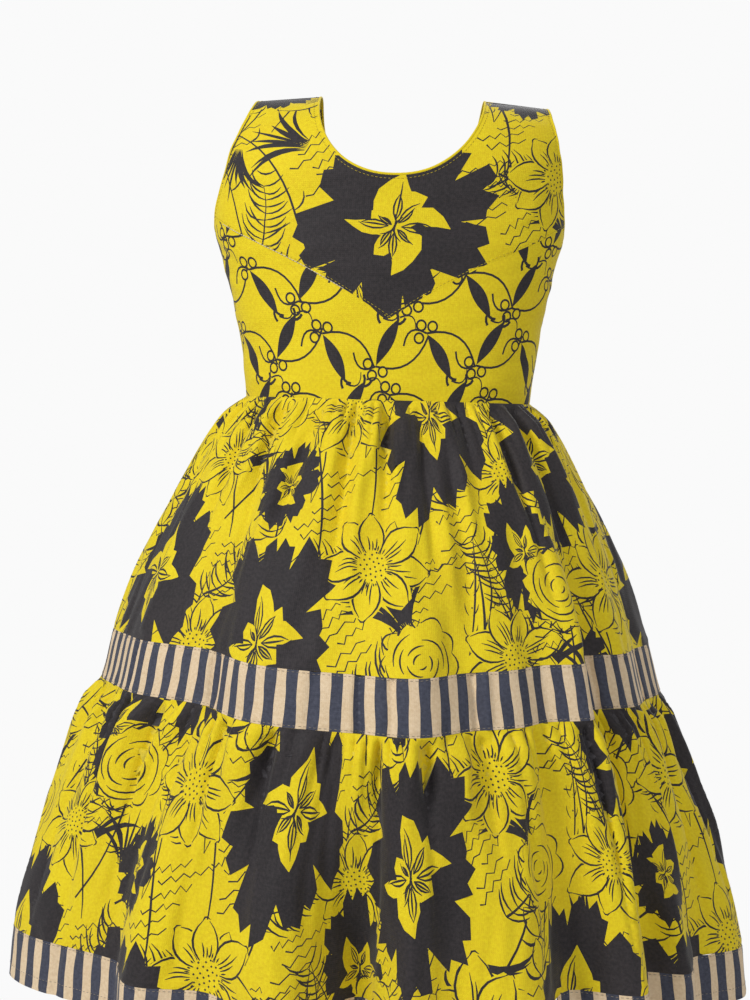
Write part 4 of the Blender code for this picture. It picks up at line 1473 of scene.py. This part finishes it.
def stitching():
    """The rows of stitches: the neck, armholes, V seam and zip in yellow, the bands in cream, and the left
    half of the V seam in the pale thread that shows there."""
    bodice = [set_in(front_neck(), EDGE_STITCH)]
    for side in (-1, 1):
        bodice.append(set_in(front_armhole(side), side * EDGE_STITCH))
        bodice.append(set_in(back_neck(side), side * EDGE_STITCH))
        bodice.append(set_in(back_armhole(side), -side * EDGE_STITCH))
        bodice.append(set_in(v_seam(side, 0), -side * SEAM_STITCH))
        rows = np.linspace(BACK_NECK_DROP, WAIST_DROP - 1, 40)
        bodice.append([(beside_zip(side, drop) + side * ZIP_STITCH, -float(path_at(drop))) for drop in rows])
    yellow_lines = [thread_line(lay_bodice, line) for line in bodice]
    cream_lines = []
    for name, (width, length, lay) in SURFACES.items():
        if "band" in name:
            insets = (BAND_STITCH, length - (BAND_STITCH if "mid" in name else HEM_STITCH))
            cream_lines += [thread_line(lay, [(1, inset), (width - 1, inset)]) for inset in insets]
        elif "upper_tier_back" in name:
            across = ZIP_STITCH if name.endswith("left") else width - ZIP_STITCH
            yellow_lines.append(thread_line(lay, [(across, 1), (across, ZIP_END)]))
    pale_line = thread_line(lay_bodice, np.array(v_seam(-1, 0))[6:25], 0.3)
    return [
        beads(name, lines, pitch, size, thread_finish(finish, colour))
        for name, lines, pitch, size, finish, colour in (
            ("stitches_yellow", yellow_lines, 3.2, (0.45, 0.45, 2.4), "thread_yellow", "#CDB72C"),
            ("stitches_cream", cream_lines, 3.6, (0.4, 0.4, 2.5), "thread_stone", "#9C9080"),
            ("seam_thread", [pale_line], 2.4, (0.8, 0.8, 2.7), "thread_pale", "#D8CDB4"),
        )
    ]


def zip_chain():
    """The coil's two rows of loops, from the slider down to the end of the opening."""
    drops = np.linspace(CHAIN_START + 0.5, WAIST_DROP + ZIP_END - 1, 120)
    rows = []
    for side in (-1, 1):
        line = []
        for drop in drops:
            if drop <= WAIST_DROP:
                turn = math.degrees(side * COIL_ASIDE / float(smooth_curve(BODICE, "side")(drop)))
                point = bodice_point(turn, -path_at(drop))
            else:
                turn = math.degrees(side * COIL_ASIDE / float(smooth_curve(SKIRT, "side")(drop - WAIST_DROP)))
                point = skirt_point(180 - turn, drop - WAIST_DROP)
            line.append(point + np.array([0, CHAIN_OUT, 0]))
        rows.append(line[1:] if side > 0 else line)
    return beads("zip_coil", rows, 1.5, (1.9, 1.9, 0.95), thread_finish("coil_nylon", "#C9B62F"))


def waist_allowances():
    """The seam allowance at the waist, pressed up inside the bodice on both sides of the zip."""
    made = []
    path = float(path_at(WAIST_DROP))
    for name, first, last, facing in (
        ("front", -SIDE_ANGLE, SIDE_ANGLE, 1),
        ("back_left", -SIDE_ANGLE, -ALLOWANCE_FROM_ZIP, -1),
        ("back_right", ALLOWANCE_FROM_ZIP, SIDE_ANGLE, -1),
    ):
        left, right = float(across_at(first)), float(across_at(last))
        rows = sorted((facing * (path - ALLOWANCE), facing * (path + SEAM_GAP * 2)))
        outline = [(left, rows[0]), (right, rows[0]), (right, rows[1]), (left, rows[1])]
        made.append(cloth(f"waist_allowance_{name}", outline, [], lay_allowance, PRINTED))
    return made


def lay_allowance(spots):
    """Flat spots laid inside the bodice's cloth."""
    return lay_bodice(spots) - out_of(lay_bodice, spots) * ALLOWANCE_IN


SURFACES = {}
BEADS = repeat_tree()
pieces = bodice_pieces() | skirt_pieces()
edges = turned_edges()
for name, (piece, size, area) in pieces.items():
    slot = "striped_cotton" if "band" in name else "flower_print"
    if name == "front_bodice":
        slot = "spindle_print"
    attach(piece, "dress")
    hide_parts(name)
    held = "gathered" if "tier" in name else "hung"
    on_it = [edges[name]] if name in edges else []
    for edge in on_it:
        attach(edge, "dress")

for strip, size, area in waist_allowances():
    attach(strip, "dress")

trims = (*stitching(), zip_chain())
for trim, slot in zip(trims, ("flower_print", "striped_cotton", "flower_print", "zip_tape")):
    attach(trim, "dress")

brass = zip_brass("zip_brass")
tape_finish = thread_finish("zip_tape_twill", "#D9C02A")
for name, finish in (("zip_tape", tape_finish), ("zip_slider", brass), ("zip_pull", brass)):
    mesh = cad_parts[name].data
    mesh.materials.clear()
    mesh.materials.append(finish)


# Floor, lights and camera


def studio():
    """A pale floor under soft light. The world is seen at full strength, as a white ground, and lights the
    dress less, so that its folds keep their shade."""
    shape = bmesh.new()
    bmesh.ops.create_circle(shape, cap_ends=True, segments=96, radius=FLOOR_RADIUS)
    mesh = bpy.data.meshes.new("floor")
    shape.to_mesh(mesh)
    shape.free()
    floor = bpy.data.objects.new("floor", mesh)
    floor.location.z = FLOOR * MM
    bpy.context.scene.collection.objects.link(floor)
    pale, _, shader = new_finish("pale_floor")
    shader.inputs["Base Color"].default_value = linear("#F2F1EF")
    shader.inputs["Roughness"].default_value = 0.9
    mesh.materials.append(pale)
    world = bpy.data.worlds.new("soft_white")
    world.use_nodes = True
    tree = world.node_tree
    tree.nodes["Background"].inputs["Color"].default_value = linear("#FAFAFA")
    seen = add_node(tree, "ShaderNodeLightPath").outputs["Is Camera Ray"]
    lit = {1: 1 - AMBIENT, 2: AMBIENT}
    strength = add_node(tree, "ShaderNodeMath", lit, {0: seen}, operation="MULTIPLY_ADD")
    tree.links.new(strength.outputs[0], tree.nodes["Background"].inputs["Strength"])
    bpy.context.scene.world = world
    for name, spot, size, power in (
        ("key", (-1.75, -1.7, 1.0), 0.8, 51),
        ("fill", (1.8, -2.2, 0.5), 2.0, 18),
        ("back", (0.6, 2.2, 1.2), 1.6, 40),
    ):
        lamp = bpy.data.lights.new(name, "AREA")
        lamp.size = size
        lamp.energy = power
        light = bpy.data.objects.new(name, lamp)
        light.location = spot
        light.rotation_euler = (Vector((0, 0, -0.35)) - Vector(spot)).to_track_quat("-Z", "Y").to_euler()
        bpy.context.scene.collection.objects.link(light)


# The floor's height in millimetres, its radius in metres, and how strongly the world lights the dress
FLOOR = -1120
FLOOR_RADIUS = 1.0
AMBIENT = 0.35

# The camera: its distance in millimetres, its lens, and how far it is tipped, rolled and turned in degrees
CAMERA_DISTANCE = 1300
LENS = 58.5
PITCH = 3.52
ROLL = 1.65
AIM_LEFT = 0.35


def photo_camera():
    """The photograph's view: level with the waist, tipped down a little, and rolled as the dress leans."""
    data = bpy.data.cameras.new("photo_camera")
    data.lens = LENS
    data.sensor_width = 36
    camera = bpy.data.objects.new("photo_camera", data)
    turn = (
        Matrix.Rotation(math.radians(AIM_LEFT), 4, "Z")
        @ Matrix.Rotation(math.radians(90 - PITCH), 4, "X")
        @ Matrix.Rotation(math.radians(ROLL), 4, "Z")
    )
    camera.matrix_world = Matrix.Translation((0, -CAMERA_DISTANCE * MM, -WAIST_DROP * MM)) @ turn
    bpy.context.scene.collection.objects.link(camera)
    bpy.context.scene.camera = camera
    bpy.context.scene.view_settings.view_transform = "Standard"


studio()
photo_camera()
